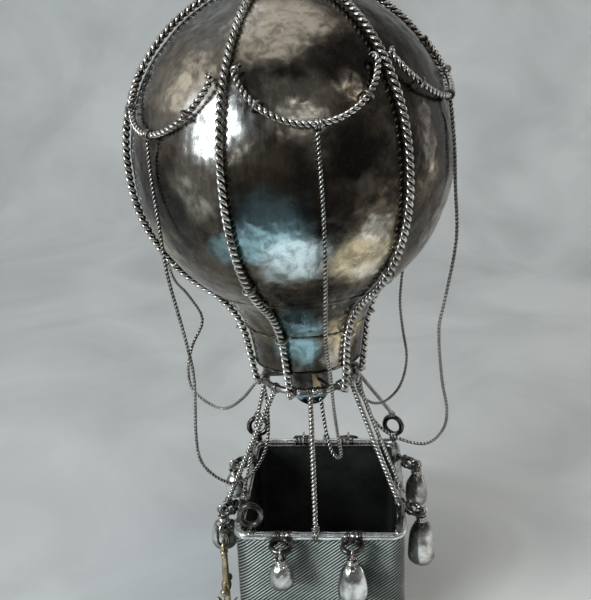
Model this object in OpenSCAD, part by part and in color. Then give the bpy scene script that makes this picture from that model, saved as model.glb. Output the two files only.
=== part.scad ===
/* [Envelope] */
// Radius of the balloon envelope, mm
env_r = 64; // [56:0.5:72]
// Straight band between the upper and lower halves, mm
barrel_h = 3.4; // [1:0.2:8]
// Height of the upper half's centre above the basket rim, mm
env_h = 154; // [148:0.5:164]
// Thickness of the envelope sheet, mm
sheet_t = 1; // [0.6:0.1:2]
// Radius of the hollow curve under the bulb, mm
throat_r = 38; // [32:0.5:44]
// Least radius of the hollow curve, mm
waist_r = 23.8; // [23.5:0.1:27]
// Depth of the neck's open edge below the middle of the hollow curve, mm
neck_drop = 4.4; // [2:0.2:8]
// Height of the neck sleeve, from its open edge to its seam, mm
sleeve_len = 16.6; // [14:0.2:19]
// Lean of the whole balloon to one side, degrees
lean = 2.2; // [0:0.1:3]
// Sideways offset of the balloon over the basket, mm
rig_shift = 2; // [0:0.2:3]

/* [Crown] */
// Radius of the crown cap, mm
crown_r = 9; // [6:0.5:9.5]
// Thickness of the crown cap, mm
crown_t = 2; // [1:0.2:4]
// Radius of the ring on the crown, to the middle of its wire, mm
crown_ring_r = 4; // [3:0.2:6]
// Diameter of the crown ring's wire, mm
crown_wire_d = 2; // [1.2:0.1:2.6]

/* [Ropes on the envelope] */
// Diameter of the six long ropes, mm
rope_d = 3.2; // [2:0.1:4]
// Diameter of the swagged ropes, mm
swag_d = 2.6; // [1.6:0.1:3.2]
// Standoff of the swags from the sheet, mm
swag_gap = 1; // [0.6:0.1:2]
// Radius of each swag seen from outside, degrees of the sphere
swag_size = 22; // [16:0.5:22.5]
// How far round its circle each swag runs to either side, degrees
swag_sweep = 84; // [60:1:85]
// Diameter of the thin drop lines, mm
drop_d = 1.6; // [1.2:0.1:2]
// Diameter of the wire in the rope staples, mm
tie_d = 1; // [0.6:0.1:1.4]

/* [Load ring and burner] */
// Radius of the load ring to the middle of its wire, mm
ring_r = 19.8; // [19.5:0.1:20.4]
// Diameter of the load ring's wire, mm
ring_d = 2.8; // [2:0.1:3.2]
// Depth of the load ring below the neck's open edge, mm
ring_drop = 9.5; // [9:0.5:14]
// Radius of the burner cup, mm
cup_r = 8.4; // [6:0.2:11]
// Length of the straight part of the cup, mm
cup_h = 11.5; // [5:0.5:12]
// How far the cup's wall goes on below the load ring, mm
cup_sink = 6; // [2:0.5:7]
// Thickness of the cup's wall, mm
cup_t = 1.2; // [0.8:0.1:2]
// Diameter of the struts that carry the cup, mm
strut_d = 1.8; // [1:0.1:2.4]
// Diameter of the load ropes, mm
load_d = 2.4; // [1.6:0.1:3]

/* [Basket] */
// Width of the basket between rim centres, mm
basket_w = 69; // [64:0.5:80]
// Depth of the basket between rim centres, mm
basket_d = 82; // [78:0.5:95]
// Height of the rim's centre above the table, mm
rim_z = 54; // [50:0.5:64]
// Diameter of the round rim, mm
rim_d = 2.8; // [2:0.1:3.6]
// Radius of the basket's corners, mm
corner_r = 5; // [3:0.2:8]
// Thickness of the walls, mm
wall_t = 1.8; // [1:0.1:2.4]
// Thickness of the floor, mm
floor_t = 2; // [1:0.1:4]

/* [Corner eyes] */
// Radius of the corner eyes to the middle of their wire, mm
eye_r = 4.4; // [2.8:0.1:4.6]
// Diameter of the corner eyes' wire, mm
eye_d = 2.3; // [1.6:0.1:3]
// Length of the posts under the tall corner eyes, mm
eye_post = 2.5; // [2.2:0.1:5]
// Length of the post under the front right eye, mm
eye_post_low = 0.8; // [0.5:0.1:2.4]

/* [Sandbags] */
// Radius of a sandbag at its widest, mm
bag_r = 5.75; // [4:0.05:6.2]
// Distance from a sandbag's hinge to the middle of its round end, mm
bag_drop = 16; // [15:0.2:20]
// Radius of a sandbag's shoulder, mm
shoulder_r = 3.9; // [3.2:0.1:4.4]
// Distance from a sandbag's hinge to the middle of its shoulder, mm
shoulder_drop = 9; // [8:0.1:10]
// Radius of a sandbag's tied neck, mm
bag_neck_r = 1.6; // [1.2:0.1:2.4]
// Diameter of the wire tied round a sandbag's neck, mm
collar_d = 1.1; // [0.6:0.1:1.5]
// Radius of the bag eyes to the middle of their wire, mm
shackle_r = 3.3; // [3.1:0.1:4.5]
// Diameter of the bag eyes' wire, mm
shackle_d = 2.2; // [1.6:0.1:2.4]
// Radius of a sandbag's hanging loop to the middle of its wire, mm
loop_r = 2.2; // [2.1:0.05:2.3]
// Diameter of a sandbag's hanging loop wire, mm
loop_d = 1.1; // [0.8:0.1:1.3]
// Height of a bag's hinge below the rim's centre, mm
hinge_drop = 2; // [1.6:0.1:2.4]

/* [Anchor] */
// Radius of the anchor's eye to the middle of its wire, mm
anchor_eye_r = 2.4; // [2.3:0.1:3]
// Straight length of the anchor's long link, mm
link_len = 6; // [5:0.2:10]
// Length of the anchor's shank, mm
shank_len = 27.5; // [24:0.5:29]
// Diameter of the anchor's shank, mm
shank_d = 3.2; // [2:0.1:4]
// Radius of the anchor's curved arms, mm
arm_r = 3.8; // [3.4:0.1:4]
// Height of the anchor's stock above the foot of its shank, mm
stock_up = 10; // [8:0.5:12]
// Half length of the anchor's stock, mm
stock_half = 5.5; // [4:0.1:6]
// Diameter of the stock rod, mm
stock_d = 1.6; // [1:0.1:1.8]

/* [Hidden] */
$fn = 32;
gap = 0.1;
fit_gap = 0.15;
rope_gap = 0.15;
toe_gap = 0.2;
slice = 0.1;

// Heights along the balloon, measured from the basket rim
low_h = env_h - barrel_h;
rope_rad = rope_d / 2;
rope_off = rope_rad + rope_gap;
swag_off = swag_d / 2 + swag_gap;
throat_x = waist_r + throat_r;
throat_deg = acos(throat_x / (env_r + throat_r));
throat_h = low_h - (env_r + throat_r) * sin(throat_deg);
neck_h = throat_h - neck_drop;
ring_h = neck_h - ring_drop;

// The neck tapers so that a rope lying along it just passes the load ring
rope_inner = throat_r - rope_off;
toe = [ring_r + ring_d / 2 + rope_rad + toe_gap, 0, ring_h - ring_d / 2];
toe_x = throat_x - toe[0];
toe_z = throat_h - toe[2];
neck_taper = atan2(toe_x, toe_z) - asin(rope_inner / norm([toe_x, toe_z]));
cone_r = throat_x - throat_r * cos(neck_taper);
cone_h = throat_h + throat_r * sin(neck_taper);
neck_r = cone_r - (cone_h - neck_h) * tan(neck_taper);
seam_deg = asin((sleeve_len - neck_drop) / throat_r);
sleeve_steps = 6;

// The rope azimuths, seen from above, from the front towards the right
first_phi = -18;
rope_step = 60;
rope_count = 6;
rope_sides = 12;
first_turn = 4;
foot_gap = 0.2;
tie_deg = 37;
staple_sweep = 50;
crown_clear = 0.6;
crown_deg = asin(crown_r / (env_r + crown_t));
rope_top_deg = acos((crown_r + rope_rad + crown_clear) / (env_r + rope_off));
swag_lows = [15.5, 16.5, 15, 14, 15.5, 13];

// Points of the drop lines: distance from the axis, azimuth, height over the rim
line_r = env_r + drop_d / 2 + 0.5;
line_start = env_r + swag_off;
line_low = swag_d / 2 + drop_d / 2;
line_foot = ring_r + 1;
line_stop = ring_h - ring_d / 2 - drop_d / 2 - 0.3;
LINES = [
    [[line_r, 12, env_h], [line_r, 12, low_h - 12], [line_r, 11.5, low_h - 30],
     [line_r - 7, 11, low_h - 58], [line_r - 14, 13, neck_h + 11], [line_foot + 24, 15, neck_h - 7],
     [line_foot + 19, 18, neck_h - 22], [line_foot + 16.5, 20, neck_h - 31],
     [line_foot + 12.5, 19, neck_h - 34], [line_foot + 9, 16, neck_h - 31],
     [line_foot + 5, 14, neck_h - 20], [line_foot + 1, 14, line_stop]],
    [[line_r, 72, env_h], [line_r, 72, low_h - 12], [line_r, 72, low_h - 33],
     [line_r - 5, 71.5, low_h - 58], [line_r - 8, 72.5, neck_h + 14], [line_r - 8, 76, neck_h - 9],
     [line_r - 6.5, 78, neck_h - 24], [line_r - 9, 80, neck_h - 35], [line_foot + 27.5, 83, neck_h - 43],
     [line_foot + 14.5, 88, neck_h - 41.5], [line_foot + 6, 94, neck_h - 35],
     [line_foot + 2, 98, neck_h - 24], [line_foot + 0.5, 100, line_stop]],
    [[line_r, 132, env_h], [line_r, 132, low_h - 12], [line_r - 1, 132, low_h - 33],
     [line_r - 6, 132, low_h - 56], [line_r - 9, 133, neck_h + 9], [line_r - 9, 132, neck_h - 6],
     [line_r - 9, 130, neck_h - 20], [line_foot + 28.5, 127, neck_h - 31],
     [line_foot + 17.5, 124, neck_h - 35], [line_foot + 8.5, 121, neck_h - 32],
     [line_foot + 2, 117, neck_h - 24], [line_foot + 0.5, 114, line_stop]],
    [[line_r, 192, env_h], [line_r, 192, low_h - 12], [line_r, 192, low_h - 30],
     [line_r - 7, 191, low_h - 58], [line_r - 14, 189, neck_h + 11], [line_foot + 23, 187, neck_h - 6],
     [line_foot + 17, 184, neck_h - 18], [line_foot + 11, 182, neck_h - 22],
     [line_foot + 6, 184, neck_h - 19], [line_foot + 1, 187, line_stop]],
    [[line_r, 252, env_h], [line_r, 252, low_h - 12], [line_r + 1, 251, low_h - 33],
     [line_r + 1, 247, low_h - 56], [line_r + 2, 238, neck_h + 17], [line_r, 233, neck_h + 3],
     [line_r + 3, 238, neck_h - 9], [line_r + 4, 241, neck_h - 20], [line_foot + 45, 243, neck_h - 29],
     [line_foot + 35, 243, neck_h - 35], [line_foot + 26, 243, neck_h - 35],
     [line_foot + 15, 246, neck_h - 27], [line_foot + 6, 250, neck_h - 17], [line_foot + 0.5, 254, line_stop]],
    [[line_r, 312, env_h], [line_r, 313, low_h - 12], [line_r - 1, 313, low_h - 34],
     [line_r - 6, 312, low_h - 62], [line_r - 8.5, 310.5, neck_h + 5], [line_r - 8, 307, neck_h - 22],
     [line_r - 10, 307, neck_h - 35], [line_foot + 26, 309, neck_h - 45],
     [line_foot + 18, 310, neck_h - 47], [line_foot + 9.5, 308, neck_h - 44],
     [line_foot + 3, 305, neck_h - 35], [line_foot + 0.5, 300, neck_h - 22], [line_foot + 0.5, 296, line_stop]]
];
line_sides = 8;
line_steps = 4;

// Basket outline
half_w = basket_w / 2;
half_d = basket_d / 2;
rim_rad = rim_d / 2;
wall_low = floor_t + gap;
wall_h = rim_z - rim_rad - gap - wall_low;
corner_diag = corner_r * (1 - cos(45));
deck_z = rim_z + rim_rad;

// Corner eyes: position, post length and turn of each ring
eye_in = 6.5;
front_left = [-half_w + eye_in, -half_d, eye_post, 0];
front_right = [half_w - corner_diag, -half_d + corner_diag, eye_post_low, 80];
back_left = [-half_w + corner_diag, half_d - corner_diag, eye_post, 10];
back_right = [half_w - corner_diag, half_d - corner_diag, eye_post, -25];
saddle = 0.25;

// Sandbags: position along the side and the turn of that side
BAGS = [[-15.5, 0], [13.5, 0], [-18, 90], [22, 90], [-11, 180], [11.5, 180], [-22, 270], [18, 270]];
anchor_at = [33, 270];
hinge_z = rim_z - hinge_drop;
function eye_tilt(r) = asin(hinge_drop / (2 * r));
function eye_out(r) = 2 * r * cos(eye_tilt(r)) + shackle_d / 2 + rim_rad + gap;
shackle_tilt = eye_tilt(shackle_r);
bag_longer = [-3.4, 2, 5.4, 1, 0, 0.8, -3, -2];
bag_wider = [-0.65, 0.55, 0.15, -0.55, 0, -0.25, -0.75, 0];
loop_low = loop_r + loop_d / 2;
neck_top = loop_low + gap;
neck_len = 1.6;
collar_r = bag_neck_r + collar_d / 2 + gap;
collar_z = neck_top + neck_len / 2;

// Anchor
link_foot = link_len + loop_r;
shank_top = loop_r;
ball_r = 2.2;
knob_r = 1.9;
stock_z = link_foot + loop_r + shank_len - stock_up;
arm_z = link_foot + loop_r + shank_len;
arm_d = 2.2;
arm_deg = 60;
palm_r = 1.6;
palm_h = 2.6;
palm_tip = 0.3;
palm_sink = 0.4;
ring_wire = 1.4;

// Load ropes: azimuth on the ring, then the end point on the basket
slope_room = load_d * 0.35 + gap;
rope_start = ring_d / 2 + slope_room;
eye_tip = 2 * eye_r + eye_d + saddle + slope_room;
tip_turn = 65;
tip_side = shackle_r * sin(tip_turn);
tip_back = shackle_r * (1 - cos(tip_turn));
tip_z = hinge_z + tip_back * sin(shackle_tilt) + shackle_d / 2 + slope_room;
tip_at = [-half_w - eye_out(shackle_r) + tip_back * cos(shackle_tilt), tip_side - BAGS[7][0], tip_z];
rim_stop = deck_z + slope_room;
steel = [0.72, 0.71, 0.68];
dark = [0.45, 0.44, 0.42];
brass = [0.66, 0.58, 0.42];

module rig() {
    translate([-rig_shift, 0, rim_z])
        rotate([0, -lean, 0])
            children();
}

module at_phi(phi) {
    rotate([0, 0, phi - 90])
        children();
}

module rod(a, b, r) {
    v = b - a;
    len = norm(v);
    translate(a)
        rotate([0, acos(v[2] / len), atan2(v[1], v[0])])
            cylinder(h = len, r = r);
}

// A round bar bent along an arc in the upright plane
module bar_arc(cx, cz, r, bar, from, turn) {
    translate([cx, 0, cz])
        rotate([90, 0, 0])
            rotate([0, 0, from])
                rotate_extrude(angle = turn)
                    translate([r, 0])
                        circle(r = bar);
}

module ring(r, bar) {
    rotate_extrude()
        translate([r, 0])
            circle(r = bar);
}

module wedge(from, to, r) {
    mid = (from + to) / 2;
    polygon([[0, 0], [r * cos(from), r * sin(from)], [2 * r * cos(mid), 2 * r * sin(mid)],
             [r * cos(to), r * sin(to)]]);
}

module annulus(r_out, r_in) {
    difference() {
        circle(r = r_out);
        circle(r = r_in);
    }
}

module envelope_bulb() {
    color(steel) rig() rotate_extrude() {
        translate([0, env_h])
            intersection() {
                annulus(env_r, env_r - sheet_t);
                square([2 * env_r, 2 * env_r]);
            }
        translate([env_r - sheet_t, low_h])
            square([sheet_t, barrel_h]);
        translate([0, low_h])
            intersection() {
                annulus(env_r, env_r - sheet_t);
                wedge(-throat_deg + slice, 0, 2 * env_r);
            }
    }
}

module envelope_throat() {
    color(steel) rig() rotate_extrude()
        translate([throat_x, throat_h])
            intersection() {
                annulus(throat_r + sheet_t, throat_r);
                wedge(180 - throat_deg, 180 - seam_deg - slice, 2 * throat_r);
            }
}

// The sleeve goes on along the hollow curve, then runs straight to its open edge
function sleeve_arc(r, from, to) = [for (i = [0 : sleeve_steps])
    let(a = from + (to - from) * i / sleeve_steps) [throat_x - r * cos(a), throat_h + r * sin(a)]];

module neck_sleeve() {
    color(steel) rig() rotate_extrude()
        polygon(concat(
            sleeve_arc(throat_r, seam_deg, neck_taper),
            [[neck_r, neck_h], [neck_r - sheet_t / cos(neck_taper), neck_h]],
            sleeve_arc(throat_r + sheet_t, neck_taper, seam_deg)));
}

module crown_cap() {
    color(steel) rig() translate([0, 0, env_h]) {
        rotate_extrude()
            intersection() {
                annulus(env_r + gap + crown_t, env_r + gap);
                wedge(90 - crown_deg, 90, 2 * env_r);
            }
        translate([0, 0, env_r + crown_t + crown_ring_r + crown_wire_d / 4])
            rotate([90, 0, 0])
                ring(crown_ring_r, crown_wire_d / 2);
    }
}

// A round tube through a row of points; side is a direction that it never runs along
module tube(pts, r, sides, side) {
    last = len(pts) - 1;
    dirs = [for (i = [0 : last]) let(v = pts[min(i + 1, last)] - pts[max(i - 1, 0)]) v / norm(v)];
    rings = [for (i = [0 : last], s = [0 : sides - 1])
        let(u = cross(dirs[i], side), w = u / norm(u), n = cross(w, dirs[i]), a = 360 * s / sides)
            pts[i] + r * (cos(a) * n + sin(a) * w)];
    skin = [for (i = [0 : last - 1], s = [0 : sides - 1])
        let(t = (s + 1) % sides)
            [i * sides + s, i * sides + t, (i + 1) * sides + t, (i + 1) * sides + s]];
    head = [for (s = [0 : sides - 1]) sides - 1 - s];
    tail = [for (s = [0 : sides - 1]) last * sides + s];
    polyhedron(points = rings, faces = concat(skin, [head], [tail]));
}

function arc_points(cx, cz, r, from, turn, steps) = [for (i = [0 : steps])
    let(a = from + turn * i / steps) [cx + r * cos(a), 0, cz + r * sin(a)]];

// One long rope: over the bulb, round the throat, along the neck and down past the ring
module meridian_rope(index) {
    path = concat(
        arc_points(0, env_h, env_r + rope_off, rope_top_deg, -rope_top_deg, 16),
        arc_points(0, low_h, env_r + rope_off, 0, -throat_deg, 12),
        arc_points(throat_x, throat_h, rope_inner, 180 - throat_deg + first_turn, throat_deg - neck_taper - first_turn, 7),
        [toe]);
    color(dark) rig() at_phi(first_phi + index * rope_step)
        tube(path, rope_rad, rope_sides, [0, 1, 0]);
}

module meridian_rope_1() { meridian_rope(0); }
module meridian_rope_2() { meridian_rope(1); }
module meridian_rope_3() { meridian_rope(2); }
module meridian_rope_4() { meridian_rope(3); }
module meridian_rope_5() { meridian_rope(4); }
module meridian_rope_6() { meridian_rope(5); }

// One swag: part of a level circle laid on the bulb between two long ropes
module swag(index) {
    tilt = swag_lows[index] + swag_size;
    reach = env_r + swag_off;
    color(dark) rig() translate([0, 0, env_h])
        at_phi(first_phi + (index + 0.5) * rope_step)
            rotate([0, -tilt, 0])
                translate([reach * cos(swag_size), 0, 0])
                    rotate([0, 90, 0])
                        rotate([0, 0, -swag_sweep])
                            rotate_extrude(angle = 2 * swag_sweep)
                                translate([reach * sin(swag_size), 0])
                                    circle(r = swag_d / 2);
}

module swag_1() { swag(0); }
module swag_2() { swag(1); }
module swag_3() { swag(2); }
module swag_4() { swag(3); }
module swag_5() { swag(4); }
module swag_6() { swag(5); }

// Drop lines: smooth curves through their points
function polar(p) = [p[0] * sin(p[1]), -p[0] * cos(p[1]), p[2]];
function line_head(index) = let(deg = swag_lows[index] - 57.3 * (line_low + 0.3) / line_start)
    [line_start * cos(deg), first_phi + (index + 0.5) * rope_step, env_h + line_start * sin(deg)];
function blend(a, b, c, d, t) = 0.5 * (2 * b + (c - a) * t + (2 * a - 5 * b + 4 * c - d) * t * t
    + (3 * b - a - 3 * c + d) * t * t * t);
function knots(index) = let(p = [for (q = concat([line_head(index)], LINES[index])) polar(q)], n = len(p))
    concat([2 * p[0] - p[1]], p, [2 * p[n - 1] - p[n - 2]]);
function course(k) = concat([for (i = [1 : len(k) - 3], s = [0 : line_steps - 1])
    blend(k[i - 1], k[i], k[i + 1], k[i + 2], s / line_steps)], [k[len(k) - 2]]);

module drop_line(index) {
    phi = first_phi + (index + 0.5) * rope_step;
    color(dark) rig() tube(course(knots(index)), drop_d / 2, line_sides, [cos(phi), sin(phi), 0]);
}

module drop_line_1() { drop_line(0); }
module drop_line_2() { drop_line(1); }
module drop_line_3() { drop_line(2); }
module drop_line_4() { drop_line(3); }
module drop_line_5() { drop_line(4); }
module drop_line_6() { drop_line(5); }

// A wire staple bridging a rope, its feet just clear of the sheet
module staple(bar, standoff) {
    bend = bar + gap + tie_d / 2;
    rotate([0, 0, -90])
        rotate_extrude(angle = 180)
            translate([bend, 0])
                circle(r = tie_d / 2);
    for (s = [-1, 1])
        translate([0, s * bend, 0])
            rotate([0, -90, 0])
                cylinder(h = standoff - foot_gap, r = tie_d / 2);
}

module rope_staples() {
    mid = 180 - seam_deg;
    color(brass) rig()
        for (k = [0 : rope_count - 1])
            at_phi(first_phi + k * rope_step) {
                translate([(env_r + rope_off) * cos(tie_deg), 0, low_h - (env_r + rope_off) * sin(tie_deg)])
                    rotate([0, tie_deg, 0])
                        staple(rope_rad, rope_off);
                translate([throat_x + rope_inner * cos(mid), 0, throat_h + rope_inner * sin(mid)])
                    rotate([0, 180 - mid, 0])
                        staple(rope_rad, rope_off);
            }
}

module swag_staples() {
    reach = env_r + swag_off;
    color(brass) rig() translate([0, 0, env_h])
        for (k = [0 : rope_count - 1], s = [-1, 1])
            at_phi(first_phi + (k + 0.5) * rope_step)
                rotate([0, -swag_lows[k] - swag_size, 0])
                    translate([reach * cos(swag_size), 0, 0])
                        rotate([0, 90, 0])
                            rotate([0, 0, s * staple_sweep])
                                translate([reach * sin(swag_size), 0, 0])
                                    rotate([-90, -90 + swag_size, 0])
                                        staple(swag_d / 2, swag_off);
}

module load_ring() {
    color(steel) rig() translate([0, 0, ring_h])
        ring(ring_r, ring_d / 2);
}

module burner_cup() {
    color(steel) rig() translate([0, 0, ring_h - cup_sink])
        difference() {
            union() {
                cylinder(h = cup_h, r = cup_r);
                sphere(r = cup_r);
            }
            translate([0, 0, cup_h / 2])
                cylinder(h = cup_h, r = cup_r - cup_t);
            translate([0, 0, cup_h / 2])
                sphere(r = cup_r - cup_t);
        }
}

module cup_struts() {
    color(brass) rig() translate([0, 0, ring_h])
        for (k = [0 : 2])
            at_phi(30 + k * 120)
                rod([cup_r + gap, 0, 0], [ring_r - ring_d / 2 - gap, 0, 0], strut_d / 2);
}

function rig_point(p) = [p[0] * cos(lean) - p[2] * sin(lean) - rig_shift, p[1],
    p[0] * sin(lean) + p[2] * cos(lean) + rim_z];

// A load rope from under the ring to a point on the basket
module load_rope(phi, target) {
    top = rig_point([ring_r * sin(phi), -ring_r * cos(phi), ring_h]);
    way = target - top;
    dir = way / norm(way);
    color(dark) rod(top - dir * rope_start / dir[2], target, load_d / 2);
}

function eye_point(spot, dx, dy) = [spot[0] + dx, spot[1] + dy, deck_z + spot[2] + eye_tip];

module load_rope_front_left() { load_rope(-44, tip_at); }
module load_rope_front_mid() { load_rope(3, [-1.5, -half_d, rim_stop]); }
module load_rope_front_right() { load_rope(62, eye_point(front_right, 0, 0)); }
module load_rope_right_mid() { load_rope(80, [half_w, -5, rim_stop]); }
module load_rope_back_right() { load_rope(122, eye_point(back_right, 0, 0)); }
module load_rope_back_mid() { load_rope(176, [0.5, half_d, rim_stop]); }
module load_rope_back_left() { load_rope(252, eye_point(back_left, 0, 0)); }
module load_rope_left_mid() { load_rope(282, [-half_w, -12, rim_stop]); }

module wall(length, turn, out) {
    color(steel) rotate([0, 0, turn])
        translate([-length / 2 + corner_r + gap / 2, -out - wall_t / 2, wall_low])
            cube([length - 2 * corner_r - gap, wall_t, wall_h]);
}

module wall_front() { wall(basket_w, 0, half_d); }
module wall_back() { wall(basket_w, 180, half_d); }
module wall_left() { wall(basket_d, 270, half_w); }
module wall_right() { wall(basket_d, 90, half_w); }

module corner_shells() {
    color(steel)
        for (k = [[1, 1, 0], [-1, 1, 90], [-1, -1, 180], [1, -1, 270]])
            translate([k[0] * (half_w - corner_r), k[1] * (half_d - corner_r), wall_low])
                rotate([0, 0, k[2]])
                    rotate_extrude(angle = 90)
                        translate([corner_r - wall_t / 2, 0])
                            square([wall_t, wall_h]);
}

module basket_floor() {
    outer = corner_r + wall_t / 2;
    color(steel) linear_extrude(height = floor_t) {
        square([basket_w - 2 * corner_r, basket_d + wall_t], center = true);
        square([basket_w + wall_t, basket_d - 2 * corner_r], center = true);
        for (x = [-1, 1], y = [-1, 1])
            translate([x * (half_w - corner_r), y * (half_d - corner_r)])
                circle(r = outer);
    }
}

module basket_rim() {
    color(steel) translate([0, 0, rim_z]) {
        for (k = [[1, 1, 0], [-1, 1, 90], [-1, -1, 180], [1, -1, 270]])
            translate([k[0] * (half_w - corner_r), k[1] * (half_d - corner_r), 0])
                rotate([0, 0, k[2]])
                    rotate_extrude(angle = 90)
                        translate([corner_r, 0])
                            circle(r = rim_rad);
        for (s = [-1, 1]) {
            rod([-half_w + corner_r, s * half_d, 0], [half_w - corner_r, s * half_d, 0], rim_rad);
            rod([s * half_w, -half_d + corner_r, 0], [s * half_w, half_d - corner_r, 0], rim_rad);
        }
    }
}

module corner_eye(spot) {
    translate([spot[0], spot[1], deck_z + saddle]) {
        cylinder(h = spot[2] + eye_d / 2, r = eye_d / 2);
        translate([0, 0, spot[2] + eye_r + eye_d / 2])
            rotate([0, 0, spot[3]])
                rotate([90, 0, 0])
                    ring(eye_r, eye_d / 2);
    }
}

module corner_eyes() {
    color(dark)
        for (spot = [front_left, front_right, back_left, back_right])
            corner_eye(spot);
}

// Turns a hanging fitting to its place on one side of the basket, out past an eye of radius r
module hang(spot, r = shackle_r) {
    out = (spot[1] % 180 == 0 ? half_d : half_w) + eye_out(r);
    rotate([0, 0, spot[1]])
        translate([spot[0], -out, hinge_z])
            children();
}

// An eye for a sandbag or the anchor: it slopes up from its hinge to the rim
module shackle(r) {
    rotate([eye_tilt(r), 0, 0])
        translate([0, r, 0])
            ring(r, shackle_d / 2);
}

module bag_eyes() {
    color(dark) {
        for (spot = BAGS)
            hang(spot)
                shackle(shackle_r);
        hang(anchor_at, anchor_eye_r)
            shackle(anchor_eye_r);
    }
}

module half_disc(z, r) {
    translate([0, z])
        intersection() {
            circle(r = r);
            translate([0, -r])
                square([r, 2 * r]);
        }
}

module sandbag(index) {
    drop = bag_drop + bag_longer[index];
    r = bag_r + bag_wider[index];
    deg = asin((r - shoulder_r) / (drop - shoulder_drop));
    color(steel) hang(BAGS[index]) {
        rotate([0, 90, 0])
            ring(loop_r, loop_d / 2);
        translate([0, 0, -collar_z])
            ring(collar_r, collar_d / 2);
        rotate_extrude() {
            half_disc(-drop, r);
            half_disc(-shoulder_drop, shoulder_r);
            polygon([[0, -drop], [r * cos(deg), r * sin(deg) - drop],
                     [shoulder_r * cos(deg), shoulder_r * sin(deg) - shoulder_drop], [0, -shoulder_drop]]);
            translate([0, -shoulder_drop])
                square([bag_neck_r, shoulder_drop - neck_top]);
        }
    }
}

module sandbag_1() { sandbag(0); }
module sandbag_2() { sandbag(1); }
module sandbag_3() { sandbag(2); }
module sandbag_4() { sandbag(3); }
module sandbag_5() { sandbag(4); }
module sandbag_6() { sandbag(5); }
module sandbag_7() { sandbag(6); }
module sandbag_8() { sandbag(7); }

module anchor_link() {
    color(dark) hang(anchor_at, anchor_eye_r)
        rotate([0, 0, 90]) {
            bar_arc(0, 0, loop_r, loop_d / 2, 0, 180);
            bar_arc(0, -link_len, loop_r, loop_d / 2, 180, 180);
            for (s = [-1, 1])
                translate([s * loop_r, 0, -link_len])
                    cylinder(h = link_len, r = loop_d / 2);
        }
}

module anchor_body() {
    color(brass) hang(anchor_at, anchor_eye_r)
        translate([0, 0, -link_foot]) {
            rotate([90, 0, 0])
                ring(loop_r, ring_wire / 2);
            difference() {
                union() {
                    translate([0, 0, -shank_top - shank_len])
                        cylinder(h = shank_len, r = shank_d / 2);
                    translate([0, 0, -stock_z + link_foot])
                        sphere(r = ball_r);
                }
                translate([0, 0, -stock_z + link_foot])
                    rotate([0, 90, 0])
                        cylinder(h = 4 * ball_r, r = stock_d / 2 + fit_gap, center = true);
            }
            translate([0, 0, -arm_z + link_foot])
                rotate([0, 0, 90]) {
                    bar_arc(0, arm_r, arm_r, arm_d / 2, 270 - arm_deg, 2 * arm_deg);
                    for (s = [-1, 1])
                        translate([s * arm_r * sin(arm_deg), 0, arm_r * (1 - cos(arm_deg))])
                            rotate([0, s * (90 - arm_deg), 0])
                                translate([0, 0, -palm_sink])
                                    cylinder(h = palm_h, r1 = palm_r, r2 = palm_tip);
                }
        }
}

module anchor_stock() {
    color(brass) hang(anchor_at, anchor_eye_r)
        translate([0, 0, -stock_z])
            rotate([0, 90, 0])
                rotate_extrude() {
                    translate([0, -stock_half])
                        square([stock_d / 2, 2 * stock_half]);
                    for (s = [-1, 1])
                        half_disc(s * stock_half, knob_r);
                }
}

envelope_bulb();
envelope_throat();
neck_sleeve();
crown_cap();
meridian_rope_1();
meridian_rope_2();
meridian_rope_3();
meridian_rope_4();
meridian_rope_5();
meridian_rope_6();
swag_1();
swag_2();
swag_3();
swag_4();
swag_5();
swag_6();
drop_line_1();
drop_line_2();
drop_line_3();
drop_line_4();
drop_line_5();
drop_line_6();
rope_staples();
swag_staples();
load_ring();
burner_cup();
cup_struts();
load_rope_front_left();
load_rope_front_mid();
load_rope_front_right();
load_rope_right_mid();
load_rope_back_right();
load_rope_back_mid();
load_rope_back_left();
load_rope_left_mid();
wall_front();
wall_back();
wall_left();
wall_right();
corner_shells();
basket_floor();
basket_rim();
corner_eyes();
bag_eyes();
sandbag_1();
sandbag_2();
sandbag_3();
sandbag_4();
sandbag_5();
sandbag_6();
sandbag_7();
sandbag_8();
anchor_link();
anchor_body();
anchor_stock();
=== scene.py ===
"""Hot air balloon sculpture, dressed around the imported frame.

Lengths are in mm until a piece's mesh is made, as in the part's source.
"""
from math import acos, asin, atan2, copysign, cos, degrees, hypot, radians, sin, sqrt, tan, tau

import bpy
import numpy as np
from mathutils import Matrix, Vector, noise


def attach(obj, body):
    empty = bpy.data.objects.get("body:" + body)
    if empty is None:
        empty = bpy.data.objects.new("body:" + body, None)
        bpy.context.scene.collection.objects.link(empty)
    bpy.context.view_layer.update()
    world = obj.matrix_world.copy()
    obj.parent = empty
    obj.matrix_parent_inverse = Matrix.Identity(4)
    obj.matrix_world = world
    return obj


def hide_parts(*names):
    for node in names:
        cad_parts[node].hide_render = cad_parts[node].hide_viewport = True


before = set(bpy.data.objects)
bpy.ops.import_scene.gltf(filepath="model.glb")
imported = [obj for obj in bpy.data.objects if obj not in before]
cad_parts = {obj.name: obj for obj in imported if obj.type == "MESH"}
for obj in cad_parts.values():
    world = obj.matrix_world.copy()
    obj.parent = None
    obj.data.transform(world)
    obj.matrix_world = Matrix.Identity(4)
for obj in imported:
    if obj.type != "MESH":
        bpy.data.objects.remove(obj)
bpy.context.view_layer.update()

MM = 0.001
# Degrees in a radian, rounded as in the part's source
PER_RADIAN = 57.3

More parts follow.
